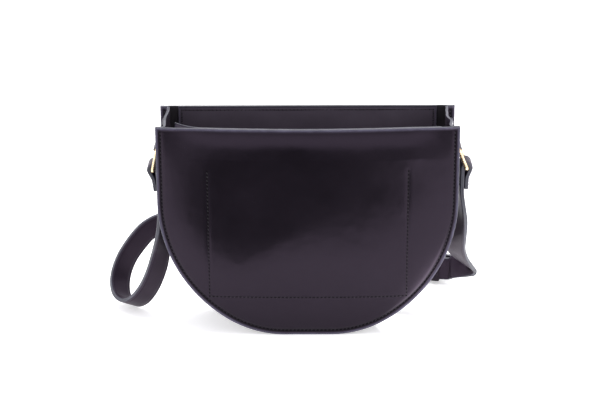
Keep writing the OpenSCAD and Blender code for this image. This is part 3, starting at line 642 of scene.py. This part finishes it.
def give(x, z):
    """How far the front leather stands forward of its plain bow: two soft rises between the seams, less
    a third where the pocket pulls it in; it fades out at the seams."""
    left, right = lump(x, z, -0.045, 0.065, 0.04, 0.035), lump(x, z, 0.05, 0.055, 0.045, 0.03)
    hollow = 0.5 * MM * lump(x, z, -0.02, 0.150, 0.03, 0.012)
    away = np.clip(seam_distance(x, z) / (20 * MM), 0, 1)
    return (0.7 * MM * left + 0.9 * MM * right - hollow) * away


def lean(x, z):
    """The top of the front first swells forward, by three squares less two cubes of the way up, then
    its lip leans back by a square; both fade out towards the side seams."""
    lip = np.clip((z - BODY_H + LIP_H) / LIP_H, 0, 1)
    swell = np.clip((z - BODY_H + SWELL_H) / SWELL_H, 0, 1)
    inside = np.clip((HALF_W - SEAM_W - GUSSET_T / 2 - LIP_CLEAR - np.abs(x)) / LIP_FADE, 0, 1)
    return LIP_BACK * inside * (lip**2 - swell**2 * (3 - 2 * swell) / 2)


def front_y(x, z):
    """Outer face of the front panel: the bow, the lean, the give and the relief of both seams."""
    pulled = seam_relief(x, z) - 0.12 * MM * pocket_seam(x, z)
    return -HALF_D - bow(x, z) - give(x, z) + lean(x, z) - pulled


def front_inner_y(x, z):
    """Inner face of the front panel: the bow and the lean alone."""
    return -HALF_D - bow(x, z) + lean(x, z) + PANEL_T


def back_full(x, z):
    """How far the back stands out in its middle."""
    return 1.2 * MM * lump(x, z, 0, 0.08, 0.07, 0.05)


def back_y(x, z):
    """Outer face of the back panel."""
    return HALF_D + back_full(x, z) + seam_relief(x, z)


def back_inner_y(x, z):
    """Inner face of the back panel."""
    return HALF_D - PANEL_T + back_full(x, z)


front_panel = panel("front_panel_leather", front_y, front_inner_y, [body_leather, rubbed_edge, napped_side],
                    "front_wall")
stands_for(front_panel, "body_leather", "front_panel")
back_panel = panel("back_panel_leather", back_y, back_inner_y, [body_leather, shaded_edge, napped_side], "bag")
stands_for(back_panel, "body_leather", "back_panel")


# ---- gusset ----
FLANGE_IN, GUSSET_STEPS = 27 * MM, (4, 10, 30, 26)


def gusset_surface():
    """The U-shaped side: its cut is a flange, a bend, a wall with soft folds, a bend and a flange,
    carried along the outline. The folds are sine waves across the wall, two on the right and one on
    the left, which fade out towards the flanges and downwards."""
    steps = u_path(np.array([0.0]), GUSSET_STEPS)[0]
    # middle line of the leather as inset and depth: half of it, the wall, and the half mirrored
    r, flange_y, wall_in, wall_y = 2 * MM, 28 * MM, 7 * MM, 24.5 * MM
    half = [(d * MM, flange_y) for d in (0.3, 2.2, 4.2)]
    half += [(wall_in - r + r * math.sin(a), flange_y - r + r * math.cos(a))
             for a in np.linspace(0, math.pi / 2, 6)[1:-1]]
    wall = [(wall_in, y) for y in np.linspace(wall_y, -wall_y, 27)]
    line = np.array(half + wall + [(d, -y) for d, y in half[::-1]])
    along = unit(np.gradient(line, axis=0))
    normal = np.stack([along[:, 1], -along[:, 0]], -1)
    y, up = line[:, 1], steps[:, 1:]
    inside = np.clip(1 - (np.abs(y) / (24 * MM)) ** 2, 0, 1)
    high = np.clip((up - 90 * MM) / (85 * MM), 0, 1) ** 1.5
    wide = 1.5 * MM * np.sin(y / (7.2 * MM) + 0.6 + 9 * (up - BODY_H))
    narrow = 0.6 * MM * np.sin(y / (3.4 * MM) + 14 * up)
    left_fold = 1.0 * MM * np.sin(y / (11 * MM) - 0.9)
    wave = np.where(steps[:, :1] > 0, wide + narrow, left_fold) * inside * high
    outer, inner = line + normal * (GUSSET_T / 2), line - normal * (GUSSET_T / 2)
    proud, still = np.array([-0.25 * MM, 0]), np.zeros((len(steps), 1))
    loop = np.vstack([outer, line[-1] + proud, inner[::-1], line[0] + proud])
    wave = np.concatenate([wave, still, wave[:, ::-1], still], 1)
    # the loop's first value insets the outline, its second is the depth
    u = u_path(loop[:, 0], GUSSET_STEPS)
    dirs = unit(np.stack([np.gradient(u[0][:, 1]), -np.gradient(u[0][:, 0])], -1))
    pts = u.transpose(1, 0, 2) - dirs[:, None, :] * wave[..., None]
    rings = np.stack([pts[..., 0], np.broadcast_to(loop[:, 1], pts.shape[:2]), pts[..., 1]], -1)
    k, m = len(line), len(loop)
    cut = np.isin(np.arange(m), [k - 1, k, m - 2, m - 1]).astype(int)
    kind = np.r_[np.tile(cut, len(steps) - 1), 1, 1]
    # a painted highlight along the top edge and the flange's edge, in the leather's rim colour
    lip = np.exp(-np.minimum(BODY_H - rings[..., 2], 50 * MM) / (1.2 * MM))
    rim = np.maximum(lip, np.exp(-loop[:, 0] / (1.0 * MM)))
    return piece("gusset_leather", rings, tube_of_rings(rings), marks=[body_leather, rubbed_edge], faced=kind,
                 rim=rim)


gusset = gusset_surface()
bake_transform(gusset)
stands_for(gusset, "body_leather", "gusset")


# ---- facings and pocket ----
def layer(name, near, body, rows, cols, span, node):
    """A thin lining layer over x, z: near gives its face nearer the front; the cut edge is a half round."""
    x, z = span(*np.meshgrid(np.linspace(0, 1, cols), np.linspace(0, 1, rows)))
    front = np.stack([x, near(x, z), z], -1)
    f, b = front.reshape(-1, 3), (front + np.array([0, FACING_T, 0])).reshape(-1, 3)
    across, up = np.arange(cols), cols * np.arange(1, rows - 1)
    border = np.r_[across, up + cols - 1, (rows - 1) * cols + across[::-1], up[::-1]]
    # a ring round the edge, midway and a little proud
    mid = (f[border] + b[border]) / 2
    mid = mid + unit((mid - mid.mean(0)) * np.array([1, 0, 1])) * 0.25 * MM
    base, total, count = quads_of(rows, cols), rows * cols, len(border)
    mids, following = 2 * total + np.arange(count), np.roll(np.arange(count), -1)
    faces = base.tolist() + (base[:, ::-1] + total).tolist()
    faces += np.stack([border[following], border, mids, mids[following]], -1).tolist()
    faces += np.stack([mids[following], mids, border + total, border[following] + total], -1).tolist()
    edge = np.minimum.reduce([np.abs(x - x[:, :1]), np.abs(x - x[:, -1:]), z - z[:1], z[-1:] - z])
    # a painted highlight round the layer's edge, in the leather's rim colour
    rim = np.exp(-edge / (1.0 * MM)).ravel()
    kind = np.r_[np.zeros(2 * len(base)), np.ones(2 * count)]
    obj = piece(name, np.vstack([f, b, mid]), faces, body, marks=LINING, faced=kind,
                rim=np.r_[rim, rim, np.ones(count)])
    stands_for(obj, "lining_leather", node)


def curl(x, z):
    """The loose left end of the front facing leans inwards: a square along its last part, times the
    way up."""
    loose = 0.22
    along = np.maximum(0, (-FACING_W / 2 * (1 - loose) - x) / (FACING_W / 2 * loose))
    up = (z - BODY_H + FRONT_FACING_H) / FRONT_FACING_H
    return (CURL + 3 * MM) * along**2 * up


def dense_ends(u, low, high):
    """Shares 0 to 1 spread from low to high, closer together towards both ends."""
    return low + (high - low) * (0.5 - 0.5 * np.cos(math.pi * u)) * 0.5 + (high - low) * u * 0.5


def facing_span(height):
    """The spread of a facing that reaches down by height from the top edge."""
    low, high = BODY_H - height, BODY_H - 0.2 * MM
    return lambda u, v: (dense_ends(u, -FACING_W / 2, FACING_W / 2), dense_ends(v, low, high))


def front_facing_y(x, z):
    """The front facing's face against the panel."""
    return front_inner_y(x, z) + LAYER_GAP + curl(x, z)


def back_facing_y(x, z):
    """The back facing's face towards the front, as the stitches lie on it."""
    return back_inner_y(x, z) - FACING_T - LAYER_GAP / 2


def rippled_facing_y(x, z):
    """The back facing's face towards the front with its faint ripples: one sine wave times another."""
    return back_facing_y(x, z) + 0.15 * MM * np.sin(x / (11 * MM)) * np.sin(z / (17 * MM))


def pocket_y(x, z):
    """The pocket hangs off the panel by its slack: a parabola across, growing with the height."""
    across = 1 - (2 * x / POCKET_W) ** 2
    up = (z - POCKET_Z) / (POCKET_TOP - POCKET_Z)
    return front_inner_y(x, z) + LAYER_GAP + POCKET_SLACK * np.maximum(across, 0) * up


def pocket_span(u, v):
    """The spread of the pocket, narrowed low down where the gusset's bend is."""
    z = dense_ends(v, POCKET_Z, POCKET_TOP)
    reach = np.minimum(POCKET_W / 2, half_inside(SEAM_W + GUSSET_T, z) - 0.4 * MM)
    return reach * (2 * u - 1), z


layer("front_facing_leather", front_facing_y, "front_wall", 16, 90, facing_span(FRONT_FACING_H), "front_facing")
layer("back_facing_leather", rippled_facing_y, "bag", 24, 90, facing_span(BACK_FACING_H), "back_facing")
layer("front_pocket_leather", pocket_y, "front_wall", 50, 60, pocket_span, "front_pocket")


# ---- rows of stitches ----
def seam_rows(name, face, sign, body, node):
    """The stitches of one panel's seam, on the panel and again on the flange behind it."""
    u = u_path(np.array([STITCH_IN]), (6, 20, 50, 20))[0]
    u = u[u[:, 1] < BODY_H - 3 * MM]
    rows = [on_face(u, face), on_face(u, lambda x, z: np.full_like(x, sign * FLANGE_IN))]
    stitches(name, rows, [(0, sign, 0), (0, -sign, 0)], body, node)


def straight_row(a, b, face, n=60):
    """A row that is straight when seen from the front, laid on a face."""
    return on_face(np.stack([np.linspace(a[0], b[0], n), np.linspace(a[1], b[1], n)], -1), face)


seam_rows("front_seam_stitches", front_y, -1, "front_wall", "front_seam_thread")
seam_rows("back_seam_stitches", back_y, 1, "bag", "back_seam_thread")

low_corners = [(-POCKET_ROW_X, POCKET_ROW_Z), (POCKET_ROW_X, POCKET_ROW_Z)]
pocket_rows = [straight_row((x, POCKET_TOP), (x, z), front_y) for x, z in low_corners]
pocket_rows.append(straight_row(*low_corners, front_y, 80))
stitches("pocket_stitches", pocket_rows, (0, -1, 0), "front_wall", "pocket_thread",
         length=1.9 * MM, width=0.85 * MM, slant=0.7, hole=0.66 * MM)

row_x, row_top, row_low = FACING_W / 2 - 2.6 * MM, BODY_H - 3.3 * MM, BODY_H - BACK_FACING_H + 3 * MM
facing_rows = [straight_row(a, b, back_facing_y) for a, b in box(-row_x, row_x, row_top, row_low)]
stitches("back_facing_stitches", facing_rows, (0, -1, 0), "bag", "back_facing_thread")


# ---- rings, tabs and straps ----
def low_bar(side):
    """Centre of a ring's lower bar, as distance from the middle of the bag and height."""
    a = TILT[side]
    return RING_X + RING_H * math.sin(a), RING_Z - RING_H * math.cos(a)


def beside(side, q):
    """Distances from the middle and heights as points on one side of the bag."""
    return np.stack([SIGN[side] * q[:, 0], np.zeros(len(q)), q[:, 1]], -1)


def ring(side):
    """The wire ring, tilted outwards about its upper bar."""
    s, a = SIGN[side], TILT[side]
    p = loop_path((STRAP_W + WIRE) / 2 + 0.8 * MM, RING_H, RING_CORNER)
    pts = np.stack([s * (RING_X - p[:, 1] * math.sin(a)), p[:, 0], RING_Z + p[:, 1] * math.cos(a)], -1)
    tilted = np.array([s * math.cos(a), 0, math.sin(a)])
    wire(side + "_ring_wire", pts, WIRE / 2, side + "_swing", tilted, side + "_ring")


def tab(side):
    """The tab: a leather strip down the gusset, round the ring's bar and up again, with its stitches."""
    r, top = WIRE / 2 + BAR_CLEAR + TAB_T / 2, RING_Z + TAB_H
    inner_x, outer_x = GUSSET_X + TAB_T / 2, GUSSET_X + 1.5 * TAB_T
    a = np.radians(np.linspace(205, 395, 16))[2:-3:2]
    turn = np.stack([RING_X + r * np.cos(a), RING_Z + r * np.sin(a)], -1)
    inner = [(inner_x, top), (inner_x, top - 6 * MM), (inner_x, top - 12 * MM),
             (inner_x + 0.6 * MM, RING_Z + 4 * MM), (inner_x + 2 * MM, RING_Z + 1.2 * MM)]
    outer = [(outer_x + 3.2 * MM, RING_Z + 3.4 * MM), (outer_x + 0.9 * MM, RING_Z + 6.2 * MM),
             (outer_x, top - 9 * MM), (outer_x, top - 4 * MM), (outer_x, top)]
    path = beside(side, through(np.vstack([inner, turn, outer]), 6))
    obj = strip(side + "_tab_leather", path, DEPTHWAYS, TAB_W, TAB_T, STRAP, "bag", ply_line=False,
                pitch=0.9 * MM)
    stands_for(obj, "strap_leather", side + "_ring_tab")
    face, half_w, half_h, mid = GUSSET_X + 2 * TAB_T, TAB_W / 2 - 2.6 * MM, 5 * MM, top - 8 * MM
    pairs = box(-half_w, half_w, mid + half_h, mid - half_h)
    rows = [np.array([[SIGN[side] * face, *p] for p in pair]) for pair in pairs]
    stitches(side + "_tab_stitches", rows, (SIGN[side], 0, 0), "bag", side + "_tab_thread", pitch=2.7 * MM)


def fold_over_ring(side):
    """Path of a strap end, as distance from the middle and height: up the cut tail, over the ring's
    lower bar and down the leg."""
    bx, bz = low_bar(side)
    fold = WIRE / 2 + BAR_CLEAR + STRAP_T / 2
    leg, tail = bx - fold, bx - fold + STRAP_T
    down = lambda x, k: (x - LEAN[side] * k / END_LEN, bz - k)
    up_tail = [down(tail, TAIL_LEN), down(tail, 14 * MM), down(tail + 0.05 * MM, 11 * MM),
               down(tail + 0.5 * MM, 7.4 * MM), down(tail + 1.9 * MM, 3.6 * MM)]
    arc = [(bx + fold * math.cos(t), bz + fold * math.sin(t)) for t in np.radians(np.linspace(-8, 180, 11))]
    return np.array(up_tail + arc + [down(leg, 7 * MM), down(leg, 14 * MM)])


def on_run(along, out):
    """A point of the strap's run behind the bag: so far along it and so far out of its middle."""
    return RUN_START + along * RUN_ALONG + out * RUN_OUT


RUN_START = np.array([0.7 * HALF_W, 1.431 * 2 * HALF_D, RUN_Z])
RUN_ALONG = np.array([math.cos(RUN_TURN), math.sin(RUN_TURN), 0])
RUN_OUT = np.array([-math.sin(RUN_TURN), math.cos(RUN_TURN), 0])
FOLD_MID = BAR_R + BAR_CLEAR + STRAP_T / 2
LAYER_MID = (STRAP_T + LAYER_GAP) / 2
OVER_FOLD = 2 * FOLD_MID + 0.3 * MM - BAR_R
OVER_LAYERS = 2 * LAYER_MID + STRAP_T / 2 + LAYER_GAP

# the straps' routes: places as shares of half the width, the depth and the height; then the direction
# of the width
LONG_ROUTE = [
    (-0.994, 0.016, 0.548, 0.1, 1, 0), (-0.992, 0.032, 0.463, 0.28, 0.95, -0.1),
    (-0.997, 0.048, 0.384, 0.5, 0.8, -0.3), (-1.017, 0.099, 0.301, 0.65, 0.63, -0.42),
    (-1.054, 0.146, 0.216, 0.69, 0.6, -0.4), (-1.104, 0.187, 0.138, 0.7, 0.58, -0.42),
    (-1.171, 0.24, 0.073, 0.7, 0.56, -0.44), (-1.243, 0.345, 0.039, 0.69, 0.55, -0.46),
    (-1.302, 0.49, 0.045, 0.7, 0.55, -0.45), (-1.328, 0.619, 0.085, 0.72, 0.55, -0.42),
    (-1.319, 0.719, 0.143, 0.72, 0.54, -0.43), (-1.275, 0.789, 0.214, 0.7, 0.5, -0.5),
    (-1.193, 0.842, 0.291, 0.6, 0.4, -0.68), (-1.117, 0.864, 0.342, 0.36, 0.3, -0.88),
    (-1.017, 0.891, 0.37, 0.05, 0.15, -1), (-0.875, 0.935, 0.37, 0, 0.1, -1),
    (-0.667, 1.032, 0.325, 0, 0.05, -1), (-0.417, 1.145, 0.26, 0, 0, -1),
    (-0.125, 1.274, 0.186, 0, 0, -1), (0.15, 1.395, 0.124, 0, 0, -1),
    (0.317, 1.458, 0.094, 0, 0, -1)]
SHORT_ROUTE = [
    (1.046, 0.016, 0.571, -0.1, 0.99, 0), (1.05, 0.065, 0.494, -0.27, 0.96, -0.03),
    (1.036, 0.194, 0.398, -0.5, 0.86, -0.04), (1.03, 0.371, 0.308, -0.68, 0.72, -0.13),
    (1.067, 0.565, 0.238, -0.57, 0.82, -0.1), (1.12, 0.742, 0.181, -0.38, 0.92, -0.1),
    (1.158, 0.871, 0.144, -0.22, 0.97, -0.12), (1.172, 0.935, 0.129, -0.2, 0.97, 0),
    (1.163, 0.992, 0.12, -0.2, 0.94, 0.28), (1.13, 1.04, 0.121, -0.16, 0.8, 0.58),
    (1.092, 1.095, 0.117, -0.05, 0.5, 0.86), (1.042, 1.175, 0.101, 0, 0.3, 0.95),
    (1.02, 1.249, 0.082, 0, 0.04, 1)]


def route(rows):
    """Places in metres and directions of the width."""
    r = np.array(rows)
    return r[:, :3] * np.array([HALF_W, 2 * HALF_D, BODY_H]), r[:, 3:]


def strap_half(name, side, rows, run, turn):
    """One half of the strap: its cut tail, the fold over the ring, the drop along its route and the run
    behind the bag, where its width stands up (turn is 1) or down (-1)."""
    bx, bz = low_bar(side)
    below = (bx - FOLD_MID - LEAN[side], bz - END_LEN - 0.8 * MM)
    ends = beside(side, np.vstack([fold_over_ring(side), below]))
    way, w = route(rows)
    pts = np.vstack([ends, way, [on_run(*p) for p in run]])
    across = np.vstack([np.tile(DEPTHWAYS, (len(ends), 1)), w, np.tile(turn * UP, (len(run), 1))])
    return strip(name, through(pts), through(across), STRAP_W, STRAP_T, STRAP)


far_bar, tip_mid = -BUCKLE_LEN, OVER_LAYERS + STRAP_T / 2
tail_rows = [(far_bar * 1.7, -FOLD_MID), (far_bar - BAR_R, -FOLD_MID), (far_bar * 0.75, -FOLD_MID * 0.8),
             (far_bar * 0.5, FOLD_MID * 0.5), (far_bar * 0.25, OVER_FOLD), (0, OVER_FOLD + STRAP_T / 2),
             (1.5 * FOLD_MID, OVER_FOLD + STRAP_T / 4), (3 * FOLD_MID, tip_mid), (TIP_LEN / 2, tip_mid),
             (TIP_LEN, tip_mid)]
long_strap = strap_half("long_strap_leather", "left", LONG_ROUTE, tail_rows, -1)
between = (LAYER_MID + FOLD_MID) / 2
run_rows = [(FOLD_LEN * 0.75, -LAYER_MID), (FOLD_LEN / 2, -LAYER_MID), (3 * FOLD_MID, -LAYER_MID),
            (1.5 * FOLD_MID, -between)]
run_rows += [(-FOLD_MID * math.sin(t), -FOLD_MID * math.cos(t)) for t in np.linspace(0, math.pi, 7)]
run_rows += [(1.5 * FOLD_MID, between), (3 * FOLD_MID, LAYER_MID), (FOLD_LEN / 2, LAYER_MID),
             (FOLD_LEN, LAYER_MID)]
short_strap = strap_half("short_strap_leather", "right", SHORT_ROUTE, run_rows, 1)


def cut_from(obj, cutter):
    """Takes the cutter's shape out of obj, whose mesh then holds the result."""
    m = obj.modifiers.new("cut", "BOOLEAN")
    m.operation, m.solver, m.object = "DIFFERENCE", "EXACT", cutter
    bpy.context.view_layer.update()
    done = bpy.data.meshes.new_from_object(obj.evaluated_get(bpy.context.evaluated_depsgraph_get()))
    obj.modifiers.clear()
    obj.data = done
    bpy.data.objects.remove(cutter)


def rod(name, start, direction, length, radius):
    """A plain rod used only to cut a hole."""
    path = start + direction * np.array([[0.0], [length]])
    rings = round_cuts(path, np.tile(direction, (2, 1)), radius, [0.0, 0.1, 1.0], 24)
    return piece(name, rings, tube_of_rings(rings))


cut_from(long_strap, rod("hole", on_run(0, BAR_R), -RUN_ALONG, BUCKLE_LEN - BAR_R, 2.5 * MM))
through_it = np.array([-math.sin(RUN_TURN / 2), math.cos(RUN_TURN / 2), 0])
beyond, short_of = on_run(*tail_rows[0]), on_run(far_bar / 2 + HOLE_STEP, tip_mid)
for spot in (*route(LONG_ROUTE)[0][-2:], beyond, short_of):
    cut_from(long_strap, rod("spare_hole", spot - through_it * STRAP_T, through_it, 2 * STRAP_T, SPARE_R))
slot_pts = [on_run(a, b) + z * UP for a in (-FOLD_MID - STRAP_T, 2 * BAR_R) for b in (-FOLD_MID, STRAP_T * 1.5)
            for z in (-2.5 * MM, 2.5 * MM)]
slot_faces = [[0, 1, 3, 2], [4, 6, 7, 5], [0, 4, 5, 1], [2, 3, 7, 6], [0, 2, 6, 4], [1, 5, 7, 3]]
cut_from(short_strap, piece("slot", slot_pts, slot_faces, smooth=False))
for half, strap, side, still in (("long_strap", long_strap, "left", 78 * MM),
                                 ("short_strap", short_strap, "right", 74 * MM)):
    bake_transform(strap)
    stands_for(strap, "strap_leather", half, side + "_strap_end")


def end_stitches(side):
    """The box of stitches through a strap end's tail, on its outer face and on the face towards the
    gusset."""
    s, (bx, bz) = SIGN[side], low_bar(side)
    leg, half_w = bx - WIRE / 2 - BAR_CLEAR, STRAP_W / 2 - ROW_IN
    rows, outs = [], []
    for face, out in ((leg + STRAP_T + 0.1 * MM, 1), (leg - STRAP_T - 0.1 * MM, -1)):
        at = lambda y, k: [s * (face - LEAN[side] * k / END_LEN), y, bz - k]
        rows += [np.array([at(*p) for p in pair]) for pair in box(-half_w, half_w, 10.4 * MM, 15.6 * MM)]
        outs += [(s * out, 0, 0)] * 4
    stitches(side + "_end_stitches", rows, outs, side + "_swing", side + "_strap_end_thread", pitch=2.6 * MM)


for side in ("left", "right"):
    ring(side)
    tab(side)
    end_stitches(side)


# ---- buckle, prong and keeper ----
def buckle():
    """The buckle's wire frame on the run of the strap, round the strap's width."""
    p = loop_path(BUCKLE_HALF, BUCKLE_LEN, 2 * MM)
    wire("buckle_wire", RUN_START + p[:, 1:] * RUN_ALONG + p[:, :1] * UP, BAR_R, "bag", RUN_OUT, "strap_buckle")


def prong():
    """The prong: an eye round the buckle's bar and a slightly tapered pin that rests on the far bar."""
    lift = math.asin((BAR_R + PRONG_D / 2 + 0.1 * MM) / BUCKLE_LEN)
    d = -RUN_ALONG * math.cos(lift) + RUN_OUT * math.sin(lift)
    eye_r = (BAR_R + BAR_CLEAR + PRONG_D / 2) * 0.96
    a = np.radians(np.linspace(-150, 180, 26))[3:-2, None] + math.atan2(d @ RUN_OUT, d @ RUN_ALONG)
    eye = RUN_START + (np.cos(a) * RUN_ALONG + np.sin(a) * RUN_OUT) * eye_r
    pin = RUN_START + d * np.linspace(BAR_R + 0.6 * MM, BUCKLE_LEN + BAR_R + PRONG_D / 2, 30)[:, None]
    taper = PRONG_D / 2 * np.r_[np.linspace(0.7, 1, 6), np.ones(18), np.sqrt(np.linspace(1, 0.05, 6))]
    halves = []
    for path, radius in ((pin, taper), (eye, PRONG_D / 2 * 0.62)):
        rings = round_cuts(path, unit(np.gradient(path, axis=0)), radius, UP, 16)
        halves += [rings.reshape(-1, 3), tube_of_rings(rings)]
    obj = piece("prong_wire", *two_in_one(*halves), "prong", marks=[brass])
    stands_for(obj, "brass", "buckle_prong")


def keeper():
    """The keeper: a narrow band of leather round the layers of the strap."""
    low, high = -LAYER_MID - STRAP_T / 2 - 0.75 * MM, OVER_LAYERS + STRAP_T + 0.3 * MM
    half_z, t = STRAP_W / 2 + 0.4 * MM, KEEPER_T / 2
    p = loop_path(half_z + t, high - low + 2 * t, 1.6 * MM)
    pts = on_run(KEEPER_AT, high + t) + p[:, :1] * UP + p[:, 1:] * RUN_OUT
    # its leather is painted dark as shade
    obj = strip("keeper_leather_shaded", np.vstack([pts, pts[:1]]), RUN_ALONG, KEEPER_W, KEEPER_T,
                [keeper_leather_shaded, keeper_leather_shaded], "keeper", closed=True, ply_line=False, pitch=0.8 * MM)
    stands_for(obj, "strap_leather", "strap_keeper")


def fold_stitches():
    """The box of stitches through the buckle's fold, on the face away from the bag's back."""
    start, end, half_w = 3 * FOLD_MID + 3 * MM, KEEPER_AT - KEEPER_W, STRAP_W / 2 - ROW_IN
    face = -LAYER_MID - STRAP_T / 2 - 0.1 * MM
    pairs = box(start, end, -half_w, half_w)
    rows = [np.array([on_run(along, face) + z * UP for along, z in pair]) for pair in pairs]
    stitches("buckle_fold_stitches", rows, -RUN_OUT, "bag", "buckle_fold_thread", pitch=2.6 * MM)


buckle()
prong()
keeper()
fold_stitches()

# ---- floor, light, camera ----
# the front edge of the paper from left to right: it is cut to a curve, which the front of the bag mirrors
PAPER_EDGE = [(-3, -0.5), (-0.32, -0.5), (-0.24, -0.38), (-0.17, -0.28), (-0.12, -0.19), (-0.075, -0.155),
              (-0.03, -0.205), (0, -0.225), (0.05, -0.24), (0.1, -0.275), (0.14, -0.32), (0.19, -0.41),
              (0.23, -0.5), (3, -0.5)]
paper_outline = [(x, y, 0) for x, y in PAPER_EDGE + [(3, 4), (-3, 4)]]
floor = piece("floor", paper_outline, [range(len(paper_outline))], smooth=False)
paper = Mix("pale_glowing_paper")
# painted light: the paper glows most in a slanting oval in front of the bag's right half, a pool of light
# painted on it
pool = paper.node("Mapping", paper.here, vector_type="TEXTURE", Location=(0.138, -0.080, 0),
                  Rotation=(0, 0, -0.84), Scale=(0.125, 0.034, 1)).outputs[0]
ball = paper.node("TexGradient", pool, gradient_type="SPHERICAL").outputs["Fac"]
paper.set(Base_Color=paper.blend(paper.noise(3, 2, 0.5), (0.86, 0.86, 0.86), (0.9, 0.9, 0.9)),
          Roughness=0.9, Specular_IOR_Level=0.2, Emission_Color=(1, 1, 1, 1),
          Emission_Strength=paper.span(ball, 0.0, 1.0, 0.4, 8.0))
floor.data.materials.append(paper.mat)

world = bpy.data.worlds.new("studio")
world.use_nodes = True
air = Wires(world.node_tree)
direction = air.node("SeparateXYZ", air.node("TexCoord").outputs["Generated"]).outputs


def room_part(source, low, high, strength):
    """How much light comes from one side of the room: none below low, full above high."""
    return air.span(source, low, high, 0.015, strength, interpolation_type="SMOOTHSTEP")


# the room: brightest round the horizon and a little dimmer above it; below it pale at the sides, dimmer
# behind and dark in front, where the table ends
low_wall = air.maths("SUBTRACT", room_part(direction["Z"], -0.27, -0.08, 1.8),
                     room_part(direction["Z"], 0.06, 0.25, 0.8))
sides_and_back = air.maths("MAXIMUM", room_part(air.maths("ABSOLUTE", direction["X"]), 0.27, 0.55, 1.1),
                           room_part(direction["Y"], 0.0, 0.4, 0.5))
dim_room = air.node("Background", Color=(0.96, 0.95, 1.0, 1),
                    Strength=air.maths("MAXIMUM", low_wall, sides_and_back))
white_wall, seen_straight = air.tree.nodes["Background"], air.node("LightPath").outputs["Is Camera Ray"]
air.fill(white_wall, {"Color": (1, 1, 1, 1), "Strength": 1.05})
either = air.node("MixShader", seen_straight, dim_room.outputs[0], white_wall.outputs[0])
air.fill(air.tree.nodes["World Output"], {"Surface": either.outputs[0]})
bpy.context.scene.world = world


def softbox(name, place, aim, size, power, spread=180):
    """A rectangular lamp at a place, turned towards aim; the spread is in degrees."""
    light = bpy.data.lights.new(name, "AREA")
    light.shape, (light.size, light.size_y) = "RECTANGLE", size
    light.energy, light.spread = power, math.radians(spread)
    obj = bpy.data.objects.new(name, light)
    bpy.context.scene.collection.objects.link(obj)
    obj.location = place
    obj.rotation_euler = (Vector(aim) - Vector(place)).to_track_quat("-Z", "Y").to_euler()


softbox("overhead", (0, 0.35, 1.3), (0, 0.2, 0), (1.2, 0.8), 7.5, spread=110)
softbox("left_box", (-1.1, -0.25, 0.55), (-0.05, 0, 0.08), (0.5, 0.7), 4)
softbox("right_box", (1.1, -0.2, 0.55), (0.05, 0, 0.05), (0.5, 0.7), 5)

# camera: fitted to the corners of the mouth and the base of the bag in the photo, which is 612 wide
PHOTO_WIDE, FOCAL_PIXELS, SENSOR = 612, 1909.2, 36.0
LOOK_DOWN, ROLL, REACH = 0.344567, -0.0029263, 1.5198832
camera_data = bpy.data.cameras.new("photo_camera")
camera_data.sensor_width, camera_data.lens = SENSOR, SENSOR * FOCAL_PIXELS / PHOTO_WIDE
camera = bpy.data.objects.new("photo_camera", camera_data)
bpy.context.scene.collection.objects.link(camera)
target = Vector((-0.0014516, -0.031, 0.1132437))
camera.location = target - Vector((0, math.cos(LOOK_DOWN), -math.sin(LOOK_DOWN))) * REACH
turn = Matrix.Rotation(math.pi / 2 - LOOK_DOWN, 4, "X") @ Matrix.Rotation(ROLL, 4, "Z")
camera.rotation_euler = turn.to_euler()
bpy.context.scene.camera = camera
bpy.context.scene.view_settings.view_transform = "Standard"
